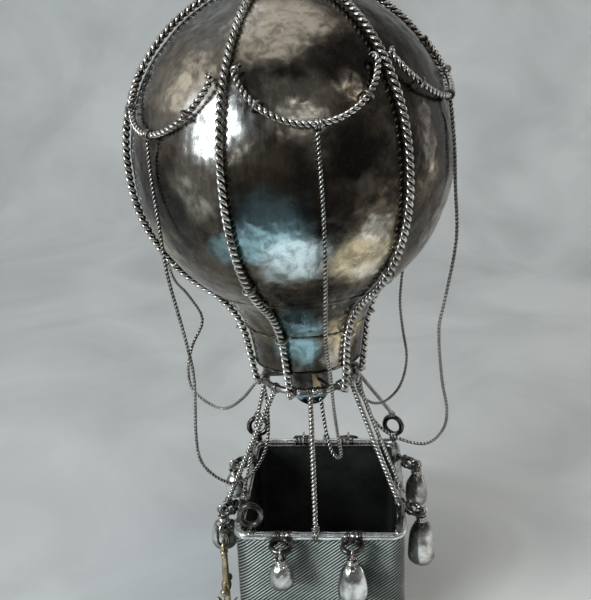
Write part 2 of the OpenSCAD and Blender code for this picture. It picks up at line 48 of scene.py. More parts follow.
# Sizes of the frame
ENV_R, ENV_H, LOW_H, SHEET_T = 64.0, 154.0, 150.6, 1.0
THROAT_R, WAIST_R, NECK_DROP, SLEEVE_LEN = 38.0, 23.8, 4.4, 16.6
ROPES, FIRST_PHI, ROPE_STEP = 6, -18.0, 60.0
ROPE_D, SWAG_D, DROP_D, LOAD_D = 3.2, 2.6, 1.6, 2.4
SWAG_GAP, SWAG_SIZE, SWAG_SWEEP = 1.0, 22.0, 84.0
SWAG_LOWS = (15.5, 16.5, 15.0, 14.0, 15.5, 13.0)
RING_R, RING_D, RING_DROP = 19.8, 2.8, 9.5
CUP_R, CUP_H, CUP_T, CUP_SINK = 8.4, 11.5, 1.2, 6.0
CROWN_R, CROWN_T, CROWN_RING_R, CROWN_WIRE_D = 9.0, 2.0, 4.0, 2.0
HALF_W, HALF_D, RIM_Z, RIM_D, CORNER_R = 34.5, 41.0, 54.0, 2.8, 5.0
WALL_T, WALL_LOW, WALL_TOP = 1.8, 2.1, 52.5
EYE_R, EYE_D, SADDLE = 4.4, 2.3, 0.25
SHACKLE_R, SHACKLE_D, HINGE_DROP = 3.3, 2.2, 2.0
LOOP_R, LOOP_D = 2.2, 1.1
BAG_R, BAG_DROP, SHOULDER_DROP = 5.75, 16.0, 9.0
BAG_LONGER = (-3.4, 2, 5.4, 1, 0, 0.8, -3, -2)
BAG_WIDER = (-0.65, 0.55, 0.15, -0.55, 0, -0.25, -0.75, 0)
ANCHOR_EYE_R, LINK_LEN, SHANK_LEN, SHANK_D, ARM_R, STOCK_UP = 2.4, 6.0, 27.5, 3.2, 3.8, 10.0
LEAN, RIG_SHIFT, GAP = radians(2.2), 2.0, 0.1

# Sizes of the dressing
ROPE_PITCH, SWAG_PITCH, LOAD_PITCH, DROP_PITCH, CROWN_PITCH = 5.6, 4.6, 3.4, 3.2, 4.2
HOOK_R, TIE_D, TIE_DROP = 1.35, 4.3, 3.7
RIB_PITCH, RIB_SLANT, RIB_DEPTH, DENT_DEPTH = 1.2, 38.0, 0.42, 0.12
PALM_ANGLE, ARM_WIRE_R = 60, 1.1
# Wire wraps: how far their line stands off what they hold, wire, turns and pitch
WRAPS = {"swag": (0.35, 0.95, 2.6, 1.0), "load_ring": (0.35, 0.9, 2.4, 1.15),
         "rope_end": (0.25, 0.75, 2.2, 0.9), "rim": (0.4, 0.9, 2.2, 1.2), "toe": (0.4, 1.0, 2.0, 1.3),
         "crown": (0.25, 0.7, 3.5, 0.9), "post": (0.3, 0.9, 1.6, 1.0), "shackle_foot": (0.45, 0.95, 1.4, 1.1),
         "shackle": (0.3, 0.85, 1.8, 0.95), "bag_tie": (0.0, 0.9, 2.3, 0.8), "link": (0.2, 0.5, 3, 0.6)}
# Lumps of solder: half their sizes along x, y and z
SOLDER = {"rope_end": (1.15, 1.15, 1.3), "rim": (1.5, 1.5, 0.8), "toe": (1.7, 1.7, 1.5),
          "load_ring": (1.9, 1.7, 1.6), "post": (1.9, 1.9, 0.8), "shackle_foot": (1.5, 1.5, 1.1),
          "bag_tie": (1.1, 1.1, 0.8)}

ROPE_OFF = ROPE_D / 2 + 0.15
SWAG_OFF = SWAG_D / 2 + SWAG_GAP
THROAT_X = WAIST_R + THROAT_R
THROAT_DEG = degrees(acos(THROAT_X / (ENV_R + THROAT_R)))
THROAT_H = LOW_H - (ENV_R + THROAT_R) * sin(radians(THROAT_DEG))
THROAT_TOP = THROAT_H + THROAT_R * sin(radians(THROAT_DEG))
NECK_H = THROAT_H - NECK_DROP
RING_H = NECK_H - RING_DROP
TOE = (RING_R + RING_D / 2 + ROPE_D / 2 + 0.2, RING_H - RING_D / 2)
ROPE_INNER = THROAT_R - ROPE_OFF
TAPER = degrees(atan2(THROAT_X - TOE[0], THROAT_H - TOE[1])
                     - asin(ROPE_INNER / hypot(THROAT_X - TOE[0], THROAT_H - TOE[1])))
SEAM_DEG = degrees(asin((SLEEVE_LEN - NECK_DROP) / THROAT_R))
CONE_R = THROAT_X - THROAT_R * cos(radians(TAPER))
CONE_H = THROAT_H + THROAT_R * sin(radians(TAPER))
NECK_R = CONE_R - (CONE_H - NECK_H) * tan(radians(TAPER))
HINGE_Z = RIM_Z - HINGE_DROP
DECK_Z = RIM_Z + RIM_D / 2
CORNER_DIAG = CORNER_R * (1 - cos(radians(45)))
# Bags and anchor: place along a wall, and that wall's turn from the front
BAGS = ((-15.5, 0), (13.5, 0), (-18, 90), (22, 90), (-11, 180), (11.5, 180), (-22, 270), (18, 270))
ANCHOR_AT = (33, 270)
# Corner eyes: place, post length and turn of each ring
EYES = ((-HALF_W + 6.5, -HALF_D, 2.5, 0), (HALF_W - CORNER_DIAG, -HALF_D + CORNER_DIAG, 0.8, 80),
        (-HALF_W + CORNER_DIAG, HALF_D - CORNER_DIAG, 2.5, 10),
        (HALF_W - CORNER_DIAG, HALF_D - CORNER_DIAG, 2.5, -25))


def eye_tilt(r):
    return asin(HINGE_DROP / (2 * r))


def eye_out(r):
    return 2 * r * cos(eye_tilt(r)) + SHACKLE_D / 2 + RIM_D / 2 + GAP


# Places on the balloon and the basket

def rig(points):
    """Points of the leaning balloon, measured from the basket rim, in the row frame."""
    x, y, z = np.asarray(points, float).T
    c, s = cos(LEAN), sin(LEAN)
    return np.stack([x * c - z * s - RIG_SHIFT, y, x * s + z * c + RIM_Z], 1)


def polar(r, phi, z):
    a = radians(phi)
    return (r * sin(a), -r * cos(a), z)


def turned(points, degrees, about=(0, 0, 0)):
    """Points turned about an upright line."""
    p = np.asarray(points, float) - about
    c, s = cos(radians(degrees)), sin(radians(degrees))
    return np.stack([p[:, 0] * c - p[:, 1] * s, p[:, 0] * s + p[:, 1] * c, p[:, 2]], 1) + about


def hang(points, spot, eye=SHACKLE_R):
    """Points of a hanging fitting, measured from its hinge, at its place on the basket."""
    out = (HALF_D if spot[1] % 180 == 0 else HALF_W) + eye_out(eye)
    return turned(np.asarray(points, float) + (spot[0], -out, HINGE_Z), spot[1])


def arc(cx, cz, r, start, turn, steps):
    """Points (x, z) along an arc."""
    return [(cx + r * cos(radians(start + turn * i / steps)),
             cz + r * sin(radians(start + turn * i / steps))) for i in range(steps + 1)]


def circle(r, steps, r2=None):
    """Points of a level circle, or of an ellipse r by r2."""
    a = np.arange(steps) * tau / steps
    return np.stack([r * np.cos(a), (r2 or r) * np.sin(a), 0 * a], 1)


def upright(r, steps, height=0.0):
    """Points of a circle that stands up, across the y axis."""
    return circle(r, steps)[:, [0, 2, 1]] + (0, 0, height)


def show(name, data):
    obj = bpy.data.objects.new(name, data)
    bpy.context.scene.collection.objects.link(obj)
    return obj


# Camera, at the photograph's viewing angle

def make_camera():
    az, el, roll = (radians(v) for v in (4.36, 19.18, -2.19))
    distance, focal_px, height_px, sensor = 395.6, 935.7, 600, 36
    target = Vector((-9.24, 0, RIM_Z + 88.9))
    back = Vector((sin(az) * cos(el), -cos(az) * cos(el), sin(el)))
    right = (-back).cross(Vector((0, 0, 1))).normalized()
    up = right.cross(-back)
    right, up = (cos(roll) * right + sin(roll) * up, -sin(roll) * right + cos(roll) * up)
    place = (target + back * distance) * MM
    data = bpy.data.cameras.new("camera")
    data.sensor_fit, data.sensor_height = "VERTICAL", sensor
    data.lens = sensor * focal_px / height_px
    data.clip_start, data.clip_end = 0.01, 50
    obj = show("camera", data)
    obj.matrix_world = Matrix([(right[i], up[i], back[i], place[i]) for i in range(3)] + [(0, 0, 0, 1)])
    bpy.context.scene.camera = obj


# Materials

class Nodes:
    """Short calls for the nodes of a material or of the world."""

    def __init__(self, owner, shader="Principled BSDF", place="Object"):
        owner.use_nodes = True
        self.owner = owner
        self.tree = owner.node_tree
        self.shader = self.tree.nodes[shader]
        self.place = self.node("TexCoord").outputs[place]

    def fill(self, node, sockets):
        """Gives inputs of a node their values, or links them to what comes out of another node."""
        for key, value in sockets.items():
            if isinstance(value, bpy.types.NodeSocket):
                self.tree.links.new(value, node.inputs[key])
            else:
                node.inputs[key].default_value = value

    def node(self, kind, sockets=(), **values):
        node = self.tree.nodes.new("ShaderNode" + kind)
        for key, value in values.items():
            setattr(node, key, value)
        self.fill(node, dict(sockets))
        return node

    def noise(self, size, detail=4, rough=0.55, twist=0.0, stretch=None, out="Fac"):
        """A noise with features about size mm across."""
        place = self.place
        if stretch:
            place = self.node("Mapping", {"Scale": stretch, "Vector": place}).outputs["Vector"]
        sockets = {"Scale": 1 / (size * MM), "Detail": detail, "Roughness": rough, "Distortion": twist}
        return self.node("TexNoise", {**sockets, "Vector": place}).outputs[out]

    def cells(self, size):
        """Rounded cells about size mm across."""
        sockets = {"Scale": 1 / (size * MM), "Smoothness": 0.6, "Vector": self.place}
        return self.node("TexVoronoi", sockets, feature="SMOOTH_F1").outputs["Distance"]

    def warped(self, size, reach):
        """The place on the object, pushed about by a noise, so that what follows it has ragged edges."""
        push = {0: self.noise(size, 4, 0.5, out="Color"), 1: (reach * MM,) * 3, 2: self.place}
        place = self.node("VectorMath", push, operation="MULTIPLY_ADD").outputs["Vector"]
        back = {0: place, 1: (reach * MM / 2,) * 3}
        return self.node("VectorMath", back, operation="SUBTRACT").outputs["Vector"]

    def ball(self, place, centre, radius, most):
        """most at a point of the model, falling to 0 at radius mm from it."""
        ends = {0: place, 1: tuple(c * MM for c in centre)}
        away = self.node("VectorMath", ends, operation="DISTANCE").outputs["Value"]
        return self.span(away, radius * MM * 0.35, radius * MM, most, 0, "SMOOTHSTEP")

    def span(self, value, low, high, out_low=0.0, out_high=1.0, kind="LINEAR"):
        """A value between low and high, carried over to between out_low and out_high."""
        names = ("Value", "From Min", "From Max", "To Min", "To Max")
        sockets = zip(names, (value, low, high, out_low, out_high))
        return self.node("MapRange", sockets, interpolation_type=kind).outputs["Result"]

    def math(self, operation, *values):
        clamp = operation in ("ADD", "SUBTRACT")
        return self.node("Math", enumerate(values), operation=operation, use_clamp=clamp).outputs["Value"]

    def ramp(self, value, stops):
        node = self.node("ValToRGB", {"Fac": value})
        while len(node.color_ramp.elements) < len(stops):
            node.color_ramp.elements.new(0.5)
        for element, (at, colour) in zip(node.color_ramp.elements, stops):
            element.position = at
            element.color = (*colour, 1)
        return node.outputs["Color"]

    def mix(self, amount, a, b, kind="MIX"):
        """Two colours mixed. They are inputs 6 and 7 of a mix node, and output 2 is the colour."""
        a, b = ((*c, 1) if isinstance(c, tuple) else c for c in (a, b))
        return self.node("Mix", {"Factor": amount, 6: a, 7: b}, data_type="RGBA", blend_type=kind).outputs[2]

    # The per-vertex attribute for worn metal and for painted shade where it is low
    def wear_and_shade(self):
        return self.node("Attribute", attribute_name="wear_and_shade").outputs["Fac"]

    def bump(self, height, depth, strength=1.0, below=None):
        """Adds a bump of depth mm and returns its normal."""
        node = self.node("Bump", {"Strength": strength, "Distance": depth * MM, "Height": height})
        if below is not None:
            self.fill(node, {"Normal": below})
        return node.outputs["Normal"]

    def finish(self, colour, roughness, normal, metallic=1.0):
        sockets = {"Base Color": colour, "Roughness": roughness, "Normal": normal, "Metallic": metallic}
        self.fill(self.shader, sockets)
        return self.owner


BROWN_TARNISH = (0.23, 0.185, 0.14)
GREY_SILVER = (0.43, 0.41, 0.375)
SILVER = (0.68, 0.67, 0.64)
BLACK, UMBER, TAN, GOLD = (0.018, 0.017, 0.016), (0.17, 0.14, 0.105), (0.42, 0.385, 0.32), (0.70, 0.60, 0.42)
PALE, BLUE, ICE, CREAM = (0.85, 0.85, 0.82), (0.34, 0.55, 0.60), (0.80, 0.93, 0.95), (1.0, 0.95, 0.84)
# Patches on the envelope: the pale, blue, ice, cream, gold and black ones are painted reflections and painted
# highlights, the tan and umber ones tarnish. Azimuth, height, radius, colour and how strong
REFLECTION_AND_TARNISH_PATCHES = (
    (-38, 190, 30, TAN, 0.85), (-2, 203, 27, TAN, 0.8), (-30, 205, 20, PALE, 0.4), (8, 178, 17, TAN, 0.9),
    (6, 189, 9, BLACK, 0.8), (27, 191, 17, BLACK, 0.85), (-7, 160, 15, UMBER, 0.8), (-29, 152, 15, TAN, 0.75),
    (-42, 146, 13, BLACK, 0.7), (-21, 174, 17, PALE, 0.95), (25, 159, 15, BLACK, 0.9), (26, 149, 7, TAN, 0.6),
    (-3, 136, 20, BLUE, 0.95), (1, 124, 16, ICE, 0.85), (-14, 128, 10, BLUE, 0.6), (13, 141, 12, BLACK, 0.6),
    (29, 121, 18, GOLD, 0.95), (30, 131, 8, CREAM, 0.9), (31, 115, 9, CREAM, 0.75), (3, 108, 15, UMBER, 0.8),
    (-32, 116, 18, UMBER, 0.8), (70, 132, 16, TAN, 0.6), (58, 168, 28, BLACK, 0.8), (52, 112, 12, UMBER, 0.8),
    (100, 150, 22, UMBER, 0.8), (118, 186, 26, TAN, 0.7), (140, 140, 20, TAN, 0.7),
    (165, 168, 22, BLACK, 0.8), (172, 126, 18, BLUE, 0.8), (196, 188, 24, TAN, 0.8),
    (212, 136, 20, GOLD, 0.75), (236, 168, 24, UMBER, 0.8),
    (-22, 126, 9, BLUE, 0.6), (-40, 101, 16, TAN, 0.7), (-12, 98, 12, UMBER, 0.8), (22, 99, 14, TAN, 0.75),
    (-62, 92, 12, TAN, 0.6), (60, 98, 12, TAN, 0.5), (262, 190, 24, PALE, 0.5), (262, 132, 18, BLUE, 0.6),
    (292, 160, 22, BLACK, 0.7), (300, 122, 16, GOLD, 0.6),
    (2, 90, 11, BLUE, 0.85), (-2, 75, 10, BLUE, 0.8), (44, 82, 14, GOLD, 0.85), (36, 70, 10, CREAM, 0.4),
    (-42, 84, 13, UMBER, 0.85), (-75, 78, 12, TAN, 0.7), (92, 84, 13, UMBER, 0.8), (140, 80, 13, TAN, 0.8),
    (185, 84, 13, BLACK, 0.7), (230, 80, 13, GOLD, 0.7))


def on_sheet(phi, z):
    """A point of the envelope's outside, from its azimuth and its height on the balloon."""
    if z > THROAT_TOP:
        r = sqrt(ENV_R ** 2 - (z - (ENV_H if z > ENV_H else LOW_H)) ** 2)
    else:
        r = THROAT_X - sqrt(THROAT_R ** 2 - (z - THROAT_H) ** 2)
    return rig([polar(r, phi, z)])[0]


def beaten_metal(name):
    """Hand-beaten silvery sheet, much of it black or brown: random tarnish tones, with patches of painted
    reflection, painted highlight and tarnish laid over them.
    """
    m = Nodes(bpy.data.materials.new(name))
    broad, fine = m.noise(30, 5, 0.6, 0.6), m.noise(6, 6, 0.65, 0.4)
    tone = m.math("ADD", m.math("MULTIPLY", broad, 0.6), m.math("MULTIPLY", fine, 0.4))
    colour = m.ramp(tone, [(0.34, BLACK), (0.50, (0.075, 0.066, 0.055)), (0.60, UMBER), (0.74, TAN)])
    ragged = m.warped(13, 22)
    # Painted reflections, painted highlights and tarnish, one ragged patch at a time
    for phi, z, radius, tint, most in REFLECTION_AND_TARNISH_PATCHES:
        colour = m.mix(m.ball(ragged, on_sheet(phi, z), radius, most), colour, tint)
    shade = m.span(fine, 0.38, 0.56, 0.55, 0.0)
    colour = m.mix(shade, colour, (0.035, 0.030, 0.026))
    specks = m.span(m.noise(1.4, 3, 0.7), 0.58, 0.72)
    colour = m.mix(m.math("MULTIPLY", specks, 0.4), colour, UMBER)
    brushed = m.noise(2.2, 4, 0.7, 0.0, (1, 1, 0.16))
    rough = m.math("ADD", m.span(fine, 0.36, 0.62, 0.28, 0.12), m.span(brushed, 0.35, 0.75, 0.0, 0.12))
    normal = m.bump(m.noise(9, 2, 0.5), 0.9, 0.5)
    normal = m.bump(m.cells(4.2), 0.22, 0.5, normal)
    return m.finish(colour, rough, m.bump(brushed, 0.03, 0.5, normal))


def plain_metal(name, bright=SILVER, dull=GREY_SILVER, size=14, rough=(0.16, 0.34), dents=0.12, darkening_mask=False):
    """Polished metal with light tarnish and small dents; with darkening_mask, near black where the
    wear_and_shade attribute is low.
    """
    m = Nodes(bpy.data.materials.new(name))
    tone, fine = m.noise(size, 5, 0.6, 0.5), m.noise(size / 7, 5, 0.7)
    colour = m.ramp(tone, [(0.34, tuple(c * 0.35 for c in dull)), (0.47, dull), (0.62, bright)])
    colour = m.mix(m.span(fine, 0.56, 0.78, 0.0, 0.55), colour, BROWN_TARNISH)
    if darkening_mask:
        # On the sandbags this makes the neck dark and puts painted shade towards the bottom
        colour = m.mix(m.span(m.wear_and_shade(), 0.0, 1.0), (0.085, 0.075, 0.062), colour)
    roughness = m.math("ADD", m.span(tone, 0.35, 0.65, rough[1], rough[0]), m.span(fine, 0.4, 0.7, 0.0, 0.10))
    normal = m.bump(m.noise(size / 3, 3, 0.5), dents, 0.5)
    return m.finish(colour, roughness, m.bump(m.noise(1.1, 4, 0.7), 0.02, 0.5, normal))


def wire_metal(name, bright, dull, dark, rough=(0.22, 0.5), edge=(0.58, 0.93)):
    """Twisted wire: bright and worn on the outside of each strand, with painted shade, near black, in the
    groove between.
    """
    m = Nodes(bpy.data.materials.new(name))
    patch, grain = m.noise(11, 4, 0.6, 0.5), m.noise(0.9, 4, 0.7)
    # Near black where a vertex lies deep towards the core: painted shade in the grooves between strands
    outer = m.span(m.wear_and_shade(), *edge)
    colour = m.mix(outer, dark, m.ramp(patch, [(0.36, dull), (0.60, bright)]))
    colour = m.mix(m.span(grain, 0.50, 0.75, 0.0, 0.5), colour, dull)
    roughness = m.math("ADD", m.span(outer, 0.0, 1.0, rough[1], rough[0]), m.span(grain, 0.4, 0.8, 0.0, 0.16))
    return m.finish(colour, roughness, m.bump(grain, 0.035, 0.6))


def ribbed_metal(name):
    """Ribbed sheet: bright on the ribs, green-grey, and painted shade, near black, in the grooves."""
    m = Nodes(bpy.data.materials.new(name))
    crest, patch = m.span(m.wear_and_shade(), 0.25, 0.95), m.noise(22, 4, 0.6, 0.4)
    lit = m.ramp(patch, [(0.36, (0.17, 0.195, 0.18)), (0.62, (0.48, 0.51, 0.48))])
    # Lit colour on the crests, near black in the grooves and on the inner skin: painted shade
    colour = m.mix(crest, (0.040, 0.045, 0.041), lit)
    colour = m.mix(m.span(m.noise(1.6, 4, 0.7), 0.52, 0.8, 0.0, 0.6), colour, (0.16, 0.145, 0.12))
    roughness = m.math("ADD", m.span(crest, 0, 1, 0.55, 0.30), m.span(patch, 0.4, 0.7, 0.0, 0.12))
    return m.finish(colour, roughness, m.bump(m.noise(0.7, 3, 0.6), 0.03, 0.6))


def floor_material():
    m = Nodes(bpy.data.materials.new("pale_floor"))
    colour = m.ramp(m.noise(130, 4, 0.55, 0.8), [(0.34, (0.43, 0.445, 0.45)), (0.64, (0.55, 0.565, 0.57))])
    return m.finish(colour, 0.62, m.bump(m.noise(1.6, 3, 0.6), 0.05, 0.3), metallic=0.0)


# Geometry gathered for one piece

class Shape:
    """Vertices in mm, faces and a wear_and_shade value for each vertex: the materials read it as worn metal
    and as painted shade.
    """

    def __init__(self):
        self.verts, self.faces, self.wear_and_shade, self.count = [], [], [], 0

    def add(self, verts, faces, wear_and_shade=1.0):
        verts = np.asarray(verts, float)
        self.verts.append(verts)
        self.faces.extend([[i + self.count for i in f] for f in faces])
        self.wear_and_shade.append(np.broadcast_to(np.asarray(wear_and_shade, float), (len(verts),)))
        self.count += len(verts)

    def piece(self, name, material, slot, stands_for=(), body="balloon", sharp=None):
        mesh = bpy.data.meshes.new(name)
        mesh.from_pydata((np.concatenate(self.verts) * MM).tolist(), [], self.faces)
        mesh.polygons.foreach_set("use_smooth", [True] * len(mesh.polygons))
        wear_and_shade = mesh.attributes.new("wear_and_shade", "FLOAT", "POINT")
        wear_and_shade.data.foreach_set("value", np.concatenate(self.wear_and_shade).astype(np.float32))
        if sharp:
            mesh.set_sharp_from_angle(angle=radians(sharp))
        mesh.materials.append(material)
        obj = show(name, mesh)
        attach(obj, body)
        if stands_for:
            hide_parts(*stands_for)
        return obj


def unit(v):
    v = np.asarray(v, float)
    return v / np.linalg.norm(v)


def carry(points, closed=False):
    """Two normals at each point of a line, carried along it without twist."""
    p = np.asarray(points, float)
    d = np.roll(p, -1, 0) - np.roll(p, 1, 0) if closed else np.gradient(p, axis=0)
    t = d / np.linalg.norm(d, axis=1)[:, None]
    start = np.array([0, 0, 1.0]) if abs(t[0][2]) < 0.9 else np.array([1.0, 0, 0])
    n = np.empty_like(t)
    n[0] = unit(start - t[0] * (start @ t[0]))
    for i in range(1, len(t)):
        n[i] = unit(n[i - 1] - t[i] * (n[i - 1] @ t[i]))
    if closed:
        v = unit(n[-1] - t[0] * (n[-1] @ t[0]))
        slip = atan2(np.cross(v, n[0]) @ t[0], v @ n[0])
        a = slip * np.arange(len(t)) / len(t)
        n = np.cos(a)[:, None] * n + np.sin(a)[:, None] * np.cross(t, n)
    return n, np.cross(t, n)


def resample(points, step, closed=False):
    p = np.asarray(points, float)
    if closed:
        p = np.vstack([p, p[:1]])
    along = np.concatenate([[0], np.cumsum(np.linalg.norm(np.diff(p, axis=0), axis=1))])
    count = max(2, int(round(along[-1] / step)))
    at = np.linspace(0, along[-1], count + 1)
    if closed:
        at = at[:-1]
    return np.stack([np.interp(at, along, p[:, k]) for k in range(3)], 1), at, along[-1]


def smooth(points, steps):
    """A smooth curve through a row of points, with its ends carried straight on."""
    p = np.asarray(points, float)
    k = np.vstack([2 * p[0] - p[1], p, 2 * p[-1] - p[-2]])
    out = []
    for i in range(1, len(k) - 2):
        a, b, c, d = k[i - 1:i + 3]
        for s in range(steps):
            t = s / steps
            out.append(0.5 * (2 * b + (c - a) * t + (2 * a - 5 * b + 4 * c - d) * t * t
                              + (3 * b - a - 3 * c + d) * t ** 3))
    out.append(k[-2])
    return np.array(out)


def grid_faces(rows, cols, round_rows=False, round_cols=False, flip=False):
    """The faces of a grid of points, row by row. A round way joins its last points to its first."""
    i, c = np.meshgrid(np.arange(rows - (not round_rows)), np.arange(cols - (not round_cols)), indexing="ij")
    j, d = (i + 1) % rows, (c + 1) % cols
    corners = [i * cols + c, j * cols + c, j * cols + d, i * cols + d]
    if flip:
        corners = [corners[k] for k in (0, 3, 2, 1)]
    return np.stack(corners, -1).reshape(-1, 4).tolist()


def both_sides(faces, shift):
    """Faces of one skin, then the same turned over for the other, whose points come shift later."""
    return faces + [[i + shift for i in face[::-1]] for face in faces]


def tube(shape, points, radius, sides=8, closed=False, core=None, reach=1.0):
    """A round tube along points. With core, wear_and_shade says how far out each vertex is from that line;
    the wire material paints shade where it is low.
    """
    p = np.asarray(points, float)
    n, b = carry(p, closed)
    a = np.arange(sides) * tau / sides
    r = np.broadcast_to(np.asarray(radius, float), (len(p),))[:, None, None]
    ring = p[:, None] + r * (np.cos(a)[None, :, None] * n[:, None] + np.sin(a)[None, :, None] * b[:, None])
    faces = grid_faces(len(p), sides, closed, True)
    if not closed:
        faces.append(list(range(sides)))
        faces.append([(len(p) - 1) * sides + s for s in range(sides)][::-1])
    wear_and_shade = 1.0
    if core is not None:
        wear_and_shade = np.clip(np.linalg.norm(ring - core[:, None], axis=2) / reach, 0, 1).reshape(-1)
    shape.add(ring.reshape(-1, 3), faces, wear_and_shade)


def twist(shape, points, diameter, pitch, strands=2, sides=6, per_turn=12, closed=False, start=0.0):
    """Strands wound round a line. A negative pitch winds them the other way."""
    core, along, length = resample(points, abs(pitch) / per_turn, closed)
    n, b = carry(core, closed)
    wire = diameter / 4 if strands == 2 else diameter / 2 / (1 + 2 / sqrt(3))
    arm = diameter / 2 - wire
    turns = length / abs(pitch)
    if closed:
        turns = round(turns)
    phase = copysign(tau * turns / length, pitch) * along + start
    for k in range(strands):
        a = phase + tau * k / strands
        line = core + arm * (np.cos(a)[:, None] * n + np.sin(a)[:, None] * b)
        tube(shape, line, wire, sides, closed, core, diameter / 2)


def coil(shape, kind, centre, axis, core, sides=6, start=0.0, tail=0.0, per_turn=14):
    """A wire wrapped round a bar of diameter core, along an axis through centre."""
    off, wire, turns, pitch = WRAPS[kind]
    axis = unit(axis)
    side = unit(np.cross(axis, (0, 0, 1.0) if abs(axis[2]) < 0.9 else (1.0, 0, 0)))
    other = np.cross(axis, side)
    a = np.linspace(0, tau * turns, int(turns * per_turn) + 1)
    shift = pitch * (a / tau - turns / 2)
    r = (core / 2 + off) * (1 + 0.05 * np.sin(2.3 * a + start))
    p = np.asarray(centre, float) + shift[:, None] * axis \
        + r[:, None] * (np.cos(a + start)[:, None] * side + np.sin(a + start)[:, None] * other)
    if tail:
        p = np.vstack([p, p[-1] + tail * (0.5 * axis + 0.6 * unit(p[-1] - p[-2]))])
    tube(shape, p, wire / 2, sides)


def lathe(shape, profile, sides, place, dent=None, pleat=None, wear_and_shade=1.0):
    """A surface of revolution about an upright axis through (r, z) points, from its top down."""
    pr = np.asarray(profile, float)
    d = np.gradient(pr, axis=0)
    out = np.stack([-d[:, 1], d[:, 0]], 1)
    out /= np.linalg.norm(out, axis=1)[:, None]
    a = np.arange(sides) * tau / sides
    cs, sn = np.cos(a), np.sin(a)
    r = np.repeat(pr[:, :1], sides, 1)
    if pleat:
        r = r * pleat(a[None, :], pr[:, 1:])
    z = np.repeat(pr[:, 1:], sides, 1)
    p = np.stack([r * cs, r * sn, z], -1)
    if dent:
        face = np.stack([out[:, :1] * cs, out[:, :1] * sn, np.repeat(out[:, 1:], sides, 1)], -1)
        amount = np.array([dent(Vector(v)) for v in p.reshape(-1, 3)]).reshape(p.shape[:2])
        p = p + amount[..., None] * face
    p = p.reshape(-1, 3)
    faces = grid_faces(len(pr), sides, False, True)
    for row, flip in ((0, False), (len(pr) - 1, True)):
        if pr[row][0] < 0.02:
            ring = [row * sides + s for s in range(sides)]
            faces.append(ring[::-1] if flip else ring)
    shape.add(place(p), faces, wear_and_shade)


def turned_profile(points, steps=3, least=0.02):
    """A smooth (r, z) outline for lathe through a few points, nowhere nearer the axis than least."""
    line = smooth([(r, 0, z) for r, z in points], steps)[:, [0, 2]]
    line[:, 0] = np.clip(line[:, 0], least, None)
    return line


def blob(shape, kind, centre, seed):
    """An uneven lump of solder."""
    profile = [(max(r, 0.01), z) for r, z in arc(0, 0, 1, 90, -180, 10)]
    shift = Vector((seed * 3.1, seed * 1.7, seed * 2.3))
    size = np.array(SOLDER[kind])
    lathe(shape, profile, 16, lambda p: p * size + centre, lambda p: 0.30 * noise.noise(p * 1.3 + shift))


# Drop lines: thin twisted wires, each with a slack loop that comes back to the load ring.
# Each has its azimuth at the top, then three groups of points: how far out, azimuth and how high.
# The first two are measured from clear of the envelope, at its lower centre and at the neck, and the
# third from just outside the ring, at the neck. The last pair is the end under the ring.
LINE_R, RING_SIDE = ENV_R + DROP_D / 2 + 0.5, RING_R + 1
LINE_END = RING_H - RING_D / 2 - DROP_D / 2 - 0.3
LINES = (
    (12, ((0, 12, -12), (0, 11.5, -30), (-7, 11, -58)), ((-14, 13, 11),),
     ((24, 15, -7), (19, 18, -22), (16.5, 20, -31), (12.5, 19, -34), (9, 16, -31), (5, 14, -20)), (1, 14)),
    (72, ((0, 72, -12), (0, 72, -33), (-5, 71.5, -58)),
     ((-8, 72.5, 14), (-8, 76, -9), (-6.5, 78, -24), (-9, 80, -35)),
     ((27.5, 83, -43), (14.5, 88, -41.5), (6, 94, -35), (2, 98, -24)), (0.5, 100)),
    (132, ((0, 132, -12), (-1, 132, -33), (-6, 132, -56)), ((-9, 133, 9), (-9, 132, -6), (-9, 130, -20)),
     ((28.5, 127, -31), (17.5, 124, -35), (8.5, 121, -32), (2, 117, -24)), (0.5, 114)),
    (192, ((0, 192, -12), (0, 192, -30), (-7, 191, -58)), ((-14, 189, 11),),
     ((23, 187, -6), (17, 184, -18), (11, 182, -22), (6, 184, -19)), (1, 187)),
    (252, ((0, 252, -12), (1, 251, -33), (1, 247, -56)),
     ((2, 238, 17), (0, 233, 3), (3, 238, -9), (4, 241, -20)),
     ((45, 243, -29), (35, 243, -35), (26, 243, -35), (15, 246, -27), (6, 250, -17)), (0.5, 254)),
    (312, ((0, 313, -12), (-1, 313, -34), (-6, 312, -62)),
     ((-8.5, 310.5, 5), (-8, 307, -22), (-10, 307, -35)),
     ((26, 309, -45), (18, 310, -47), (9.5, 308, -44), (3, 305, -35), (0.5, 300, -22)), (0.5, 296)))


def line_path(k):
    """The line of one drop line, from under its swag to its end."""
    top, upper, lower, loop, (end_r, end_phi) = LINES[k]
    reach = ENV_R + SWAG_OFF
    low = radians(SWAG_LOWS[k] - PER_RADIAN * (SWAG_D / 2 + DROP_D / 2 + 0.3) / reach)
    points = [(reach * cos(low), FIRST_PHI + (k + 0.5) * ROPE_STEP, ENV_H + reach * sin(low)),
              (LINE_R, top, ENV_H)]
    for group, r, z in ((upper, LINE_R, LOW_H), (lower, LINE_R, NECK_H), (loop, RING_SIDE, NECK_H)):
        points += [(r + out, phi, z + up) for out, phi, up in group]
    points.append((RING_SIDE + end_r, end_phi, LINE_END))
    return rig(smooth([polar(*p) for p in points], 4))


def make_drop_lines(wire):
    for k in range(len(LINES)):
        path = line_path(k)
        shape = Shape()
        twist(shape, path, DROP_D, DROP_PITCH, per_turn=10)
        obj = shape.piece(f"drop_line_wire_{k + 1}", wire, "twisted_wire", [f"drop_line_{k + 1}"])


# The balloon

def beaten(p):
    """Depth of the hammer marks and hollows at a point of the sheet, in mm."""
    broad = noise.noise(p / 17) * 0.34
    mid = noise.noise(p / 6 + Vector((31, 7, 5))) * 0.12
    near = noise.voronoi(p / 5.5)[0][0]
    return broad + mid - 0.10 * max(0.0, 1 - (near / 0.55) ** 2) - 0.18


